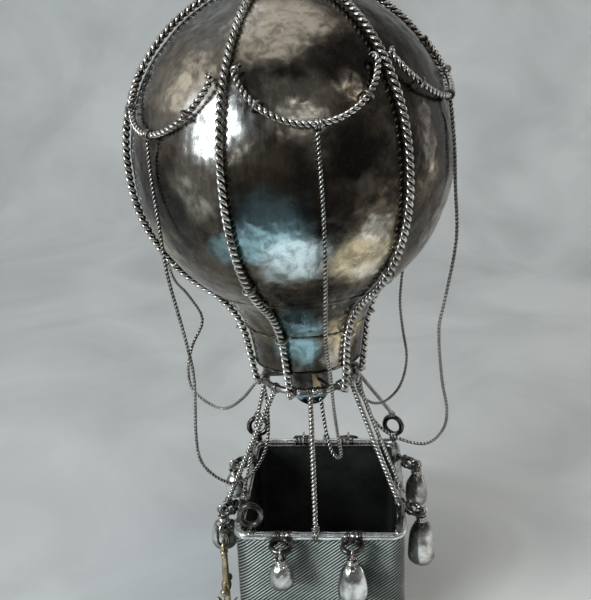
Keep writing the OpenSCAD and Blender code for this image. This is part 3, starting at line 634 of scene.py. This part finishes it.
def make_envelope(metal):
    upper = arc(0, ENV_H, ENV_R, 87, -87, 108)
    lower = arc(0, LOW_H, ENV_R, 0, -THROAT_DEG, 66)
    throat = arc(THROAT_X, THROAT_H, THROAT_R, 180 - THROAT_DEG, THROAT_DEG - SEAM_DEG, 34)
    sleeve = arc(THROAT_X, THROAT_H, THROAT_R, 180 - SEAM_DEG, SEAM_DEG - TAPER, 8)
    sleeve += [(CONE_R + (NECK_R - CONE_R) * t, CONE_H + (NECK_H - CONE_H) * t)
               for t in np.linspace(0, 1, 12)[1:]]
    for name, profile, node, sides in (
            ("envelope_bulb_sheet", upper + lower, "envelope_bulb", 288),
            ("envelope_throat_sheet", throat, "envelope_throat", 200),
            ("neck_sleeve_sheet", sleeve, "neck_sleeve", 160)):
        shape = Shape()
        lathe(shape, profile, sides, rig, beaten)
        obj = shape.piece(name, metal, "beaten_sheet", [node])
        thick = obj.modifiers.new("thickness", "SOLIDIFY")
        thick.thickness = SHEET_T * MM
        thick.offset = -1
    shape = Shape()
    for (r, z), bead in ((throat[0], 0.22), (sleeve[0], 0.40), (sleeve[-1], 0.50)):
        ring = circle(r - bead * 0.45, 200) + (0, 0, z)
        wobble = np.array([noise.noise(Vector(p) / 4) for p in ring])
        ring[:, 2] += wobble * 0.7
        tube(shape, rig(ring), bead * (1 + 0.5 * wobble), 8, True)
    shape.piece("seam_beads", metal, "beaten_sheet")


def rope_path(k):
    """The line of one long rope, in the balloon's frame."""
    top = degrees(acos((CROWN_R + ROPE_D / 2 + 0.6) / (ENV_R + ROPE_OFF)))
    flat = arc(0, ENV_H, ENV_R + ROPE_OFF, top, -top, 60) \
        + arc(0, LOW_H, ENV_R + ROPE_OFF, 0, -THROAT_DEG, 44) \
        + arc(THROAT_X, THROAT_H, ROPE_INNER, 180 - THROAT_DEG + 4, THROAT_DEG - TAPER - 4, 18) + [TOE]
    a = radians(FIRST_PHI + k * ROPE_STEP)
    return np.array([(x * sin(a), -x * cos(a), z) for x, z in flat])


def swag_path(k):
    """The line of one swag, each end curled back in a small hook."""
    reach = ENV_R + SWAG_OFF
    r = reach * sin(radians(SWAG_SIZE))
    end = radians(SWAG_SWEEP)
    cx, cy = (r - HOOK_R) * sin(end), -(r - HOOK_R) * cos(end)
    hook_start, hook_end = SWAG_SWEEP - 90 + degrees(0.35), SWAG_SWEEP + 50.4
    hook = arc(cx, cy, HOOK_R, hook_start, hook_end - hook_start, 7)
    flat = [(-x, y) for x, y in hook[::-1]] + arc(0, 0, r, -90 - SWAG_SWEEP, 2 * SWAG_SWEEP, 59) + hook
    c, s = cos(radians(SWAG_LOWS[k] + SWAG_SIZE)), sin(radians(SWAG_LOWS[k] + SWAG_SIZE))
    out = []
    for e, u in flat:
        x = sqrt(reach * reach - e * e - u * u)
        out.append((x * c - u * s, e, x * s + u * c + ENV_H))
    return turned(out, FIRST_PHI + (k + 0.5) * ROPE_STEP - 90)


def make_ropes(wire, dark):
    knots = Shape()
    for k in range(ROPES):
        shape = Shape()
        twist(shape, rig(rope_path(k)), ROPE_D, -ROPE_PITCH, sides=8, per_turn=14)
        shape.piece(f"long_rope_{k + 1}", wire, "twisted_wire", [f"meridian_rope_{k + 1}"])
        shape = Shape()
        path = rig(swag_path(k))
        twist(shape, path, SWAG_D, SWAG_PITCH, sides=8)
        shape.piece(f"swag_rope_{k + 1}", wire, "twisted_wire", [f"swag_{k + 1}"])
        mid = len(path) // 2
        coil(knots, "swag", path[mid], path[mid + 1] - path[mid - 1], SWAG_D, start=k)
    knots.piece("swag_knots", dark, "dark_wire")


def ring_point(phi, drop=0.0):
    return rig([polar(RING_R, phi, RING_H - drop)])[0]


def make_load_ropes(wire, dark, bright):
    """The ropes from the load ring to the basket, with their wrapped and soldered ends."""
    eye_top = [np.array([x, y, DECK_Z + SADDLE + post + 2 * EYE_R + EYE_D]) for x, y, post, _ in EYES]
    side, tilt = radians(65), eye_tilt(SHACKLE_R)
    back = SHACKLE_R * (1 - cos(side))
    tip = (-HALF_W - eye_out(SHACKLE_R) + back * cos(tilt), SHACKLE_R * sin(side) - BAGS[7][0],
           HINGE_Z + back * sin(tilt) + SHACKLE_D / 2)
    # Azimuth on the load ring, lower end and diameter
    ropes = {"front_left": (-44, tip, LOAD_D), "front_mid": (3, (-1.5, -HALF_D, DECK_Z), LOAD_D),
             "front_right": (62, eye_top[1], LOAD_D), "right_mid": (80, (HALF_W, -5, DECK_Z), 2.0),
             "back_right": (122, eye_top[3], 2.0), "back_mid": (176, (0.5, HALF_D, DECK_Z), 2.0),
             "back_left": (252, eye_top[2], 2.0), "left_mid": (282, (-HALF_W, -12, DECK_Z), 1.8)}
    wraps, solder = Shape(), Shape()

    def wrap_ring(kind, phi):
        coil(wraps, kind, ring_point(phi), ring_point(phi + 3) - ring_point(phi - 3), RING_D, start=phi)

    for k, (name, (phi, end, size)) in enumerate(ropes.items()):
        top, end = ring_point(phi), np.array(end, float)
        way = unit(end - top)
        a, b = top + way * (RING_D / 2 + 0.3), end + (0, 0, 0.4)
        middle = (a + b) / 2 + (0.3 * sin(phi), 0.3 * cos(phi), 0)
        shape = Shape()
        pitch = LOAD_PITCH if k % 2 else -LOAD_PITCH
        twist(shape, smooth([a, middle, b], 12), size, pitch, sides=8, start=phi)
        shape.piece(f"load_rope_wire_{name}", wire, "twisted_wire", [f"load_rope_{name}"])
        wrap_ring("load_ring", phi)
        coil(wraps, "rope_end", end - way * 1.6, way, size, start=phi * 3, tail=1.2)
        blob(solder, "rope_end", top + way * 1.6, k)
        if name.endswith("mid"):
            along = (1, 0, 0) if abs(end[1]) > HALF_D - 1 else (0, 1, 0)
            coil(wraps, "rim", (end[0], end[1], RIM_Z), along, RIM_D, start=phi)
            blob(solder, "rim", end + (0, 0, 0.1), k + 0.5)
    for k in range(ROPES):
        phi = FIRST_PHI + k * ROPE_STEP
        wrap_ring("toe", phi)
        blob(solder, "toe", rig([polar(TOE[0] - 0.5, phi, TOE[1] + 0.6)])[0], k + 0.3)
    for k, phi in enumerate((-10, 8, 14, 24)):
        blob(solder, "load_ring", ring_point(phi), k + 0.7)
    wraps.piece("rope_end_wraps", dark, "dark_wire")
    solder.piece("rope_end_solder", bright, "plain_metal")


def make_burner(dark, bright, brass):
    """The cup in its brass straps, and the dome under it."""
    inner_r, straps, strap_half = CUP_R - CUP_T, (22, 142, 262), 9
    strap_low, strap_high = 0.9, CUP_H - 0.6

    def place(points):
        return rig(np.asarray(points, float) + (0, 0, RING_H - CUP_SINK))

    def dent(p):
        return 0.1 * noise.noise(p / 4) - 0.05

    inside = arc(0, CUP_H / 2, inner_r, -90, 90, 18)[1:] + [(inner_r, CUP_H - 0.6)]
    outer = [(CUP_R - 0.55, CUP_H - 0.1), (CUP_R - 0.3, CUP_H), (CUP_R, CUP_H - 0.5),
             (CUP_R - 0.15, CUP_H - 1.2), (CUP_R - 0.2, CUP_H * 0.5), (CUP_R - 0.2, 0.8), (CUP_R - 0.2, 0.1)]
    shape = Shape()
    lathe(shape, outer, 64, place, dent)
    lathe(shape, [(inner_r + 0.2, CUP_H - 0.1)] + inside[::-1], 64, place)
    shape.piece("burner_cup_wall", dark, "plain_metal", ["burner_cup"])
    dome = Shape()
    bowl = [(CUP_R - 0.4, 0.9), (CUP_R, 0.7), (CUP_R + 0.1, 0.2)] + arc(0, 0, CUP_R, -4, -86, 22)[:-1]
    lathe(dome, bowl + [(0.01, -CUP_R)], 64, place, dent)
    dome.piece("burner_cup_dome", bright, "plain_metal")
    strip = Shape()
    rows, cols = 8, 7
    for phi in straps:
        for half in (-strap_half, strap_half):
            line = [polar(CUP_R + 0.05, phi + half, z) for z in np.linspace(strap_low, strap_high, rows)]
            tube(strip, place(line), 0.42)
        grid = [polar(CUP_R + 0.18, phi + a, z) for z in np.linspace(strap_low, strap_high, rows)
                for a in np.linspace(-strap_half, strap_half, cols)]
        strip.add(place(grid), grid_faces(rows, cols, flip=True), 0.8)
    strip.piece("burner_cup_straps", brass, "staple_wire")


def make_crown(metal, dark):
    """The domed cap with its rivets, and the twisted ring on top."""
    rivets, rivet_in = 12, 1.7
    shape = Shape()
    cap_out, cap_in = ENV_R + GAP + CROWN_T, ENV_R + GAP
    edge = degrees(acos(CROWN_R / cap_out))
    profile = [(0.01, cap_out)] + arc(0, 0, cap_out, 89, edge - 89 + 0.8, 16) \
        + [(CROWN_R, cap_out * sin(radians(edge)) - 0.5)] \
        + arc(0, 0, cap_in, edge, 89 - edge, 12) + [(0.01, cap_in)]
    lathe(shape, profile, 72, lambda p: rig(p + (0, 0, ENV_H)), lambda p: 0.12 * noise.noise(p / 3) - 0.08)
    for k in range(rivets):
        x, y, _ = polar(CROWN_R - rivet_in, 360 / rivets * k, 0)
        height = ENV_H + sqrt(cap_out ** 2 - (CROWN_R - rivet_in) ** 2)
        lathe(shape, [(0.01, 0.55), (0.35, 0.45), (0.6, 0.15), (0.7, -0.2)], 12,
              lambda p, spot=(x, y, height): rig(p + spot))
    shape.piece("crown_cap_dome", metal, "plain_metal", ["crown_cap"])
    ring = Shape()
    centre = ENV_R + CROWN_T + CROWN_RING_R + CROWN_WIRE_D / 4 + ENV_H
    line = rig(upright(CROWN_RING_R, 47, centre))
    twist(ring, line, CROWN_WIRE_D + 0.2, CROWN_PITCH, strands=3, closed=True)
    coil(ring, "crown", rig([(0, 0, centre - CROWN_RING_R)])[0], (1, 0, 0), CROWN_WIRE_D)
    ring.piece("crown_ring_wire", dark, "dark_wire")


# The basket

# Straight lengths of the basket's outline at its right and at its back, one corner, and all round
STRAIGHT = (2 * (HALF_D - CORNER_R), 2 * (HALF_W - CORNER_R))
BEND = CORNER_R * tau / 4
AROUND = 2 * (STRAIGHT[0] + STRAIGHT[1]) + 4 * BEND


def outline(s, out):
    """Points of the basket's rounded outline, s mm along it, pushed out by out mm."""
    s = np.mod(s, AROUND)
    x, y = np.empty_like(s), np.empty_like(s)
    at = 0.0
    for side in range(4):
        length = STRAIGHT[side % 2]
        # The centre of the corner at the end of this side
        cx = (HALF_W - CORNER_R) * (1, -1, -1, 1)[side]
        cy = (HALF_D - CORNER_R) * (1, 1, -1, -1)[side]
        on = (s >= at) & (s < at + length + BEND)
        past = s[on] - at - length
        a = side * tau / 4 + np.maximum(past, 0) / CORNER_R
        r, before = CORNER_R + out[on], np.minimum(past, 0)
        x[on] = cx + r * np.cos(a) - before * np.sin(a)
        y[on] = cy + r * np.sin(a) + before * np.cos(a)
        at += length + BEND
    return x, y


def ribbed_sheet(shape, per_rib=6, rows=57):
    """The four walls and their corners: one sheet whose slanting ribs run on round the corners."""
    columns = per_rib * round(AROUND * sin(radians(RIB_SLANT)) / RIB_PITCH)
    z = np.linspace(WALL_LOW, WALL_TOP, rows)
    s = np.arange(columns) / columns * AROUND
    grid_s = s[None, :] + (z[:, None] - WALL_LOW) / tan(radians(RIB_SLANT))
    ridge = np.broadcast_to(0.5 + 0.5 * np.cos(np.arange(columns) / per_rib * tau), grid_s.shape)
    skins = []
    for out in (WALL_T / 2 - RIB_DEPTH * (1 - ridge), -WALL_T / 2 + DENT_DEPTH * ridge):
        x, y = outline(grid_s.ravel(), out.ravel())
        skins.append(np.stack([x, y, np.repeat(z, columns)], 1))
    # The inner skin gets a fixed low value, so it is painted mostly near black: painted shade over the
    # basket's inside
    wear_and_shade = np.concatenate([ridge.ravel(), np.full(ridge.size, 0.36)])
    n, top = rows * columns, (rows - 1) * columns
    faces = both_sides(grid_faces(rows, columns, round_cols=True, flip=True), n)
    pairs = [(c, (c + 1) % columns) for c in range(columns)]
    faces += [[c, c + n, d + n, d] for c, d in pairs]
    faces += [[top + c, top + d, top + d + n, top + c + n] for c, d in pairs]
    shape.add(np.concatenate(skins), faces, wear_and_shade)


def rim_line(inset, z, steps=10):
    """The line of the rim, inset by some mm, as the points of its four corners."""
    line = []
    for x, y, start in ((1, 1, 0), (-1, 1, 90), (-1, -1, 180), (1, -1, 270)):
        line += arc(x * (HALF_W - CORNER_R), y * (HALF_D - CORNER_R), CORNER_R - inset, start, 90, steps)
    return [(x, y, z) for x, y in line]


def make_basket(ribbed, metal, bright):
    shape = Shape()
    ribbed_sheet(shape)
    shape.piece("ribbed_wall_sheet", ribbed, "ribbed_sheet",
                ["wall_front", "wall_back", "wall_left", "wall_right", "corner_shells"], sharp=60)
    lip = Shape()
    for inset, z in ((1.75, RIM_Z - 1.1), (-0.95, WALL_LOW + 0.6)):
        tube(lip, resample(rim_line(inset, z), 1.6, True)[0], 0.5, 8, True)
    lip.piece("wall_edge_wires", metal, "plain_metal")
    rim = Shape()
    line = resample(rim_line(0, RIM_Z), 0.9, True)[0]
    swell = np.array([noise.noise(Vector(p) / 5) + 0.5 * noise.noise(Vector(p) / 2.2) for p in line])
    tube(rim, line, RIM_D / 2 + 0.28 + 0.32 * swell, 16, True)
    rim.piece("rim_wire", bright, "plain_metal", ["basket_rim"])


def make_eyes(dark, bright):
    shape, solder = Shape(), Shape()
    base, sides = DECK_Z + SADDLE, 48
    for k, (x, y, post, turn) in enumerate(EYES):
        ring = upright(EYE_R, sides) * (1, 1, 1.03) + (0, 0, 0.03 * EYE_R)
        wobble = 1.08 + 0.07 * np.sin(3 * np.arange(sides) / 8 + x)
        centre = (x, y, base + post + EYE_R + EYE_D / 2)
        tube(shape, turned(ring, turn) + centre, EYE_D / 2 * wobble, 12, True)
        tube(shape, [(x, y, z) for z in np.linspace(base - 0.2, base + post + EYE_D / 2, 8)], EYE_D / 2, 12)
        if post > 2:
            coil(shape, "post", (x, y, base + post * 0.5), (0, 0, 1), EYE_D, start=x)
        blob(solder, "post", (x, y, DECK_Z + 0.2), k)
    shape.piece("corner_eye_wires", dark, "dark_wire", ["corner_eyes"])
    solder.piece("corner_eye_solder", bright, "plain_metal")


def shackle_line(r, wide):
    """The line of a bag eye, from its hinge up to the rim."""
    p = circle(wide, 48, r) + (0, r, 0)
    c, s = cos(eye_tilt(r)), sin(eye_tilt(r))
    return np.stack([p[:, 0], p[:, 1] * c, p[:, 1] * s], 1)


def make_bag_eyes(dark, bright):
    shape, solder = Shape(), Shape()
    sides = 48
    for k, spot in enumerate((*BAGS, ANCHOR_AT)):
        holds_bag = k < len(BAGS)
        r = SHACKLE_R if holds_bag else ANCHOR_EYE_R
        line = shackle_line(r, r + (0.7 if holds_bag else 0.3))
        wobble = 1.04 + 0.08 * np.sin(np.arange(sides) * 3 * tau / sides + 1.7 * k)
        tube(shape, hang(line, spot, r), SHACKLE_D / 2 * wobble, 12, True)
        out = eye_out(r)
        for j, dx in enumerate((-2.3, 0.3, 2.6)[:3 if holds_bag else 2]):
            blob(solder, "shackle_foot", hang([(dx, out - 0.5, HINGE_DROP + 0.7)], spot, r)[0], k + 0.31 * j)
            centre = hang([(dx + 0.4, out, HINGE_DROP)], spot, r)[0]
            along = turned([(1, 0.25 * sin(k + j), 0)], spot[1])[0]
            coil(shape, "shackle_foot", centre, along, RIM_D, sides=8, start=k + dx)
        for a in (0.7, 2.45):
            at = int(a / tau * sides)
            before, here, after = hang(line[at - 1:at + 2], spot, r)
            coil(shape, "shackle", here, after - before, SHACKLE_D, start=k * 1.7)
    shape.piece("bag_eye_wires", dark, "dark_wire", ["bag_eyes"])
    solder.piece("bag_eye_solder", bright, "plain_metal")


def make_sandbags(polished, wire):
    sides, neck_z, under = 64, -4.2, 0.94
    for k, spot in enumerate(BAGS):
        r, drop = BAG_R + BAG_WIDER[k], BAG_DROP + BAG_LONGER[k]
        upper, lower = np.radians((72, 60, 46, 32, 18, 4)), np.radians((10, 25, 40, 55, 70, 83))
        profile = turned_profile(
            [(0.02, -2.7), (1.1, -2.75), (1.75, -3.2), (1.7, -4.0), (2.1, -4.5)]
            + [(r * cos(a) ** 0.80, -drop + (drop + neck_z) * sin(a)) for a in upper]
            + [(r * cos(a), -drop - r * under * sin(a)) for a in lower]
            + [(0.02, -drop - r * under)])

        def pleat(a, z, k=k):
            gather = np.clip((z + SHOULDER_DROP) / 5, 0, 1)
            fold = 0.5 * np.cos(5 * a + k) + 0.3 * np.cos(8 * a + 2 * k)
            flat = 0.03 * np.cos(2 * a + 1.3 * k) + 0.012 * np.cos(3 * a + k)
            return 1 + 0.10 * gather * (fold - 0.35) + flat * (1 - gather)

        shape = Shape()
        height = np.repeat(profile[:, 1], sides) / -drop
        # Dark at the gathered neck and shoulder, and darker towards the bottom: painted shade that damps the
        # lit floor's reflection there
        darkening_mask = np.clip((height - 0.22) / 0.20, 0, 1) * np.clip((1.22 - height) / 0.25, 0.15, 1)
        lathe(shape, profile, sides, lambda p, s=spot: hang(p, s), lambda p: 0.22 * noise.noise(p / 4) - 0.08,
              pleat, darkening_mask)
        shape.piece(f"sandbag_body_{k + 1}", polished, "polished_bag", [f"sandbag_{k + 1}"], f"bag_{k + 1}")
        ties = Shape()
        tube(ties, hang(turned(upright(LOOP_R, 32), 90), spot), LOOP_D / 2, 8, True)
        coil(ties, "bag_tie", hang([(0, 0, -TIE_DROP)], spot)[0], (0, 0, 1), TIE_D, start=k, tail=1.3)
        blob(ties, "bag_tie", hang([(0, 0, 1 - TIE_DROP)], spot)[0], k)
        ties.piece(f"sandbag_ties_{k + 1}", wire, "dark_wire", (), f"bag_{k + 1}")


def add_palms(shape, place, low):
    """The two small pointed palms at the ends of the anchor's arms."""
    a = radians(PALM_ANGLE)
    # How far along a palm and how wide there
    outline_uw = ((-0.7, 1.0), (0.0, 1.5), (0.7, 1.3), (1.5, 0.7), (2.1, 0.12))
    across = (-1, -0.5, 0, 0.5, 1)
    rows, cols = len(outline_uw), len(across)
    faces = both_sides(grid_faces(rows, cols, flip=True), rows * cols)
    grid = np.arange(rows * cols).reshape(rows, cols)
    edge = [int(i) for side in (grid[0], grid[1:, -1], grid[-1, -2::-1], grid[-2:0:-1, 0]) for i in side]
    faces += [[c, c + rows * cols, d + rows * cols, d] for c, d in zip(edge, edge[1:] + edge[:1])]
    for s in (-1, 1):
        root = np.array([0, s * ARM_R * sin(a), low + ARM_R * (1 - cos(a))])
        ahead, up = np.array([0, s * cos(a), sin(a)]), np.array([0, -s * sin(a), cos(a)])
        grid = [root + ahead * u + np.array([w * v, 0, 0]) for u, w in outline_uw for v in across]
        bow = np.array([0.35 - 0.2 * v * v for _ in outline_uw for v in across])[:, None]
        shape.add(place(np.concatenate([grid + up * bow, grid - up * bow])), faces)


def make_anchor(dark, brass):
    """The link, and the shank with its ring, arms and palms. The frame's stock stays."""
    def place(points):
        return hang(points, ANCHOR_AT, ANCHOR_EYE_R)

    link = Shape()
    flat = arc(0, 0, LOOP_R, 180, -180, 17) + arc(0, -LINK_LEN, LOOP_R, 0, -180, 17)
    line = resample(turned([(x, 0, z) for x, z in flat], 90), 0.6, True)[0]
    tube(link, place(line), LOOP_D / 2 * (1.05 + 0.1 * np.sin(np.arange(len(line)) * 0.9)), 10, True)
    coil(link, "link", place([(0, LOOP_R, -LINK_LEN / 2)])[0], (0, 0, 1), LOOP_D)
    link.piece("anchor_link_wire", dark, "dark_wire", ["anchor_link"], "link")
    foot = LINK_LEN + LOOP_R
    body = Shape()
    tube(body, place(upright(LOOP_R, 32, -foot)), 0.72, 10, True)
    half = SHANK_D / 2
    top = -foot - LOOP_R
    low = top - SHANK_LEN
    stock = low + STOCK_UP
    shank = turned_profile([
        (0.02, top + 0.4), (0.9, top + 0.3), (half, top - 0.3), (half + 0.2, top - 0.9),
        (half - 0.2, top - 1.5), (half - 0.3, top - 2.6), (half, top - 3.0), (half - 0.25, top - 3.5),
        (half - 0.1, top - 8.0), (half - 0.05, stock + 3.0), (half + 0.1, stock + 2.2), (2.1, stock + 1.2),
        (2.25, stock), (2.1, stock - 1.2), (half + 0.1, stock - 2.2), (half - 0.1, stock - 3.0),
        (half - 0.1, low + 2.0), (half, low + 0.4), (half - 0.4, low - 0.4), (0.02, low - 0.7)])
    lathe(body, shank, 28, place, lambda p: 0.10 * noise.noise(p / 2) - 0.05)
    arm = [(0, y, z) for y, z in arc(0, low + ARM_R, ARM_R, -90 - PALM_ANGLE, 2 * PALM_ANGLE, 25)]
    tube(body, place(arm), ARM_WIRE_R * (1 - 0.35 * np.linspace(-1, 1, 26) ** 2), 12)
    add_palms(body, place, low)
    body.piece("anchor_shank_and_arms", brass, "anchor_metal", ["anchor_body"], "anchor", sharp=60)


def dress(node, material):
    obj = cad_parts[node]
    obj.data.materials.clear()
    obj.data.materials.append(material)


# Stage, light and background

def make_stage():
    """A pale floor that curves up into a backdrop behind the piece."""
    near, back, bend, top, half, drop = -0.26, 0.50, 0.35, 1.2, 0.75, 0.0002
    line = [(near, 0), (back, 0)]
    line += arc(back, bend, bend, -90, 90, 23)[1:]
    line.append((back + bend, top))
    mesh = bpy.data.meshes.new("floor")
    verts = [(x, y, z) for y, z in line for x in (-half, half)]
    mesh.from_pydata(verts, [], [(2 * i, 2 * i + 1, 2 * i + 3, 2 * i + 2) for i in range(len(line) - 1)])
    mesh.polygons.foreach_set("use_smooth", [True] * len(mesh.polygons))
    mesh.materials.append(floor_material())
    obj = show("floor", mesh)
    obj.location = (0, 0, -drop)


def make_world():
    """A dim room, paler near its horizon and darkest where the camera stands."""
    world = bpy.data.worlds.new("world")
    w = Nodes(world, "Background", "Generated")
    split = w.node("SeparateXYZ", {0: w.place})
    tones = []
    for axis, stops in (("Z", ((0.0, 0.22), (0.42, 0.34), (0.52, 0.55), (0.62, 0.38), (0.8, 0.24))),
                        ("Y", ((0.0, 0.30), (0.35, 0.50), (0.62, 1.0)))):
        along = w.math("MULTIPLY_ADD", split.outputs[axis], 0.5, 0.5)
        tones.append(w.ramp(along, [(at, (grey,) * 3) for at, grey in stops]))
    w.fill(w.shader, {"Color": w.mix(1, *tones, "MULTIPLY"), "Strength": 1.0})
    bpy.context.scene.world = world


def light(kind, name, place, target, power, colour, mirrored, **values):
    data = bpy.data.lights.new(name, kind)
    for key, value in values.items():
        setattr(data, key, value)
    data.energy, data.color = power, colour
    obj = show(name, data)
    obj.location = place
    obj.rotation_euler = (Vector(target) - Vector(place)).to_track_quat("-Z", "Y").to_euler()
    obj.visible_glossy = mirrored


def pool(name, place, target, degrees, power, colour):
    """A soft spot of light on the floor. The metal mirrors the lit floor, not the lamp."""
    light("SPOT", name, place, target, power, colour, False, spot_size=radians(degrees), spot_blend=1.0,
          shadow_soft_size=0.05)


def lamp(name, place, target, size, power, colour, mirrored=True):
    wide, high = size
    light("AREA", name, place, target, power, colour, mirrored, shape="RECTANGLE", size=wide, size_y=high)


def make_lights():
    """Places in m, sizes, power and colour."""
    lamp("window_lamp", (-0.85, -0.75, 0.60), (0, -0.05, 0.08), (0.42, 0.6), 11.5, (0.86, 0.96, 1.0))
    lamp("side_lamp", (0.85, -0.30, 0.60), (0.05, 0, 0.05), (0.3, 0.45), 3, (1.0, 0.92, 0.82), False)
    lamp("top_lamp", (-0.10, 0.15, 1.30), (0, 0.10, 0), (1.2, 0.9), 2.7, (1.0, 0.97, 0.93))
    lamp("back_lamp", (0.0, 0.40, 1.35), (0, 0.45, 0), (1.5, 0.6), 2.6, (0.93, 0.99, 1.0), False)
    lamp("left_fill", (-0.95, -0.06, 0.78), (0, 0, 0.20), (0.6, 0.5), 1.0, (1.0, 0.97, 0.93))
    lamp("front_fill", (0.18, -1.0, 0.72), (0, 0, 0.20), (0.5, 0.25), 0.55, (0.97, 0.98, 1.0))
    lamp("right_strip", (0.98, 0.30, 0.22), (0, 0, 0.15), (0.15, 0.5), 0.8, (1.0, 0.96, 0.90))
    lamp("high_strip", (0.62, -0.42, 0.92), (0, 0, 0.12), (0.10, 0.30), 0.5, (1.0, 0.98, 0.95))
    pool("cool_pool", (-0.16, -0.34, 0.34), (-0.02, -0.17, 0), 42, 7, (0.82, 0.95, 1.0))
    pool("warm_pool", (0.24, -0.24, 0.28), (0.13, -0.09, 0), 28, 5.5, (1.0, 0.91, 0.76))


def main():
    make_camera()
    rope_wire = wire_metal("rope_wire", (0.74, 0.73, 0.69), (0.36, 0.33, 0.29), (0.014, 0.013, 0.012),
                           (0.16, 0.45))
    dark_wire = wire_metal("dark_wire", (0.40, 0.39, 0.37), (0.14, 0.13, 0.12), (0.025, 0.023, 0.021),
                           (0.24, 0.5))
    line_wire = wire_metal("line_wire", (0.80, 0.79, 0.75), (0.40, 0.37, 0.33), (0.012, 0.011, 0.010),
                           (0.18, 0.45), (0.80, 0.99))
    make_drop_lines(line_wire)
    sheet = beaten_metal("beaten_sheet_metal")
    cool = plain_metal("cool_polished_metal", (0.70, 0.84, 0.88), (0.36, 0.50, 0.54), 9, (0.08, 0.2), 0.10)
    polished = plain_metal("polished_metal")
    rim = plain_metal("rim_metal", (0.88, 0.91, 0.92), (0.56, 0.57, 0.56), 9, (0.16, 0.32), 0.15)
    bags = plain_metal("polished_bag_metal", (0.80, 0.82, 0.82), (0.46, 0.45, 0.42), 8, (0.10, 0.24), 0.14,
                       True)
    brass = plain_metal("tarnished_brass", (0.62, 0.52, 0.34), (0.33, 0.26, 0.17), 7, (0.20, 0.40), 0.10)
    dark_metal = plain_metal("dark_metal", (0.42, 0.41, 0.39), (0.17, 0.16, 0.15), 10, (0.22, 0.42), 0.10)
    black_metal = plain_metal("blackened_metal", (0.17, 0.16, 0.15), (0.055, 0.05, 0.046), 6, (0.16, 0.30),
                              0.14)
    ribs = ribbed_metal("ribbed_sheet_metal")
    make_envelope(sheet)
    make_ropes(rope_wire, dark_wire)
    make_load_ropes(rope_wire, dark_wire, polished)
    make_burner(black_metal, cool, brass)
    make_crown(polished, dark_wire)
    make_basket(ribs, polished, rim)
    make_eyes(black_metal, polished)
    make_bag_eyes(black_metal, polished)
    make_sandbags(bags, rope_wire)
    make_anchor(black_metal, brass)
    for node, material in (("load_ring", dark_metal), ("cup_struts", dark_metal), ("rope_staples", polished),
                           ("swag_staples", dark_metal), ("basket_floor", dark_metal),
                           ("anchor_stock", brass)):
        dress(node, material)
    make_stage()
    make_world()
    make_lights()
    bpy.context.scene.view_settings.view_transform = "Standard"
    bpy.context.view_layer.update()


main()
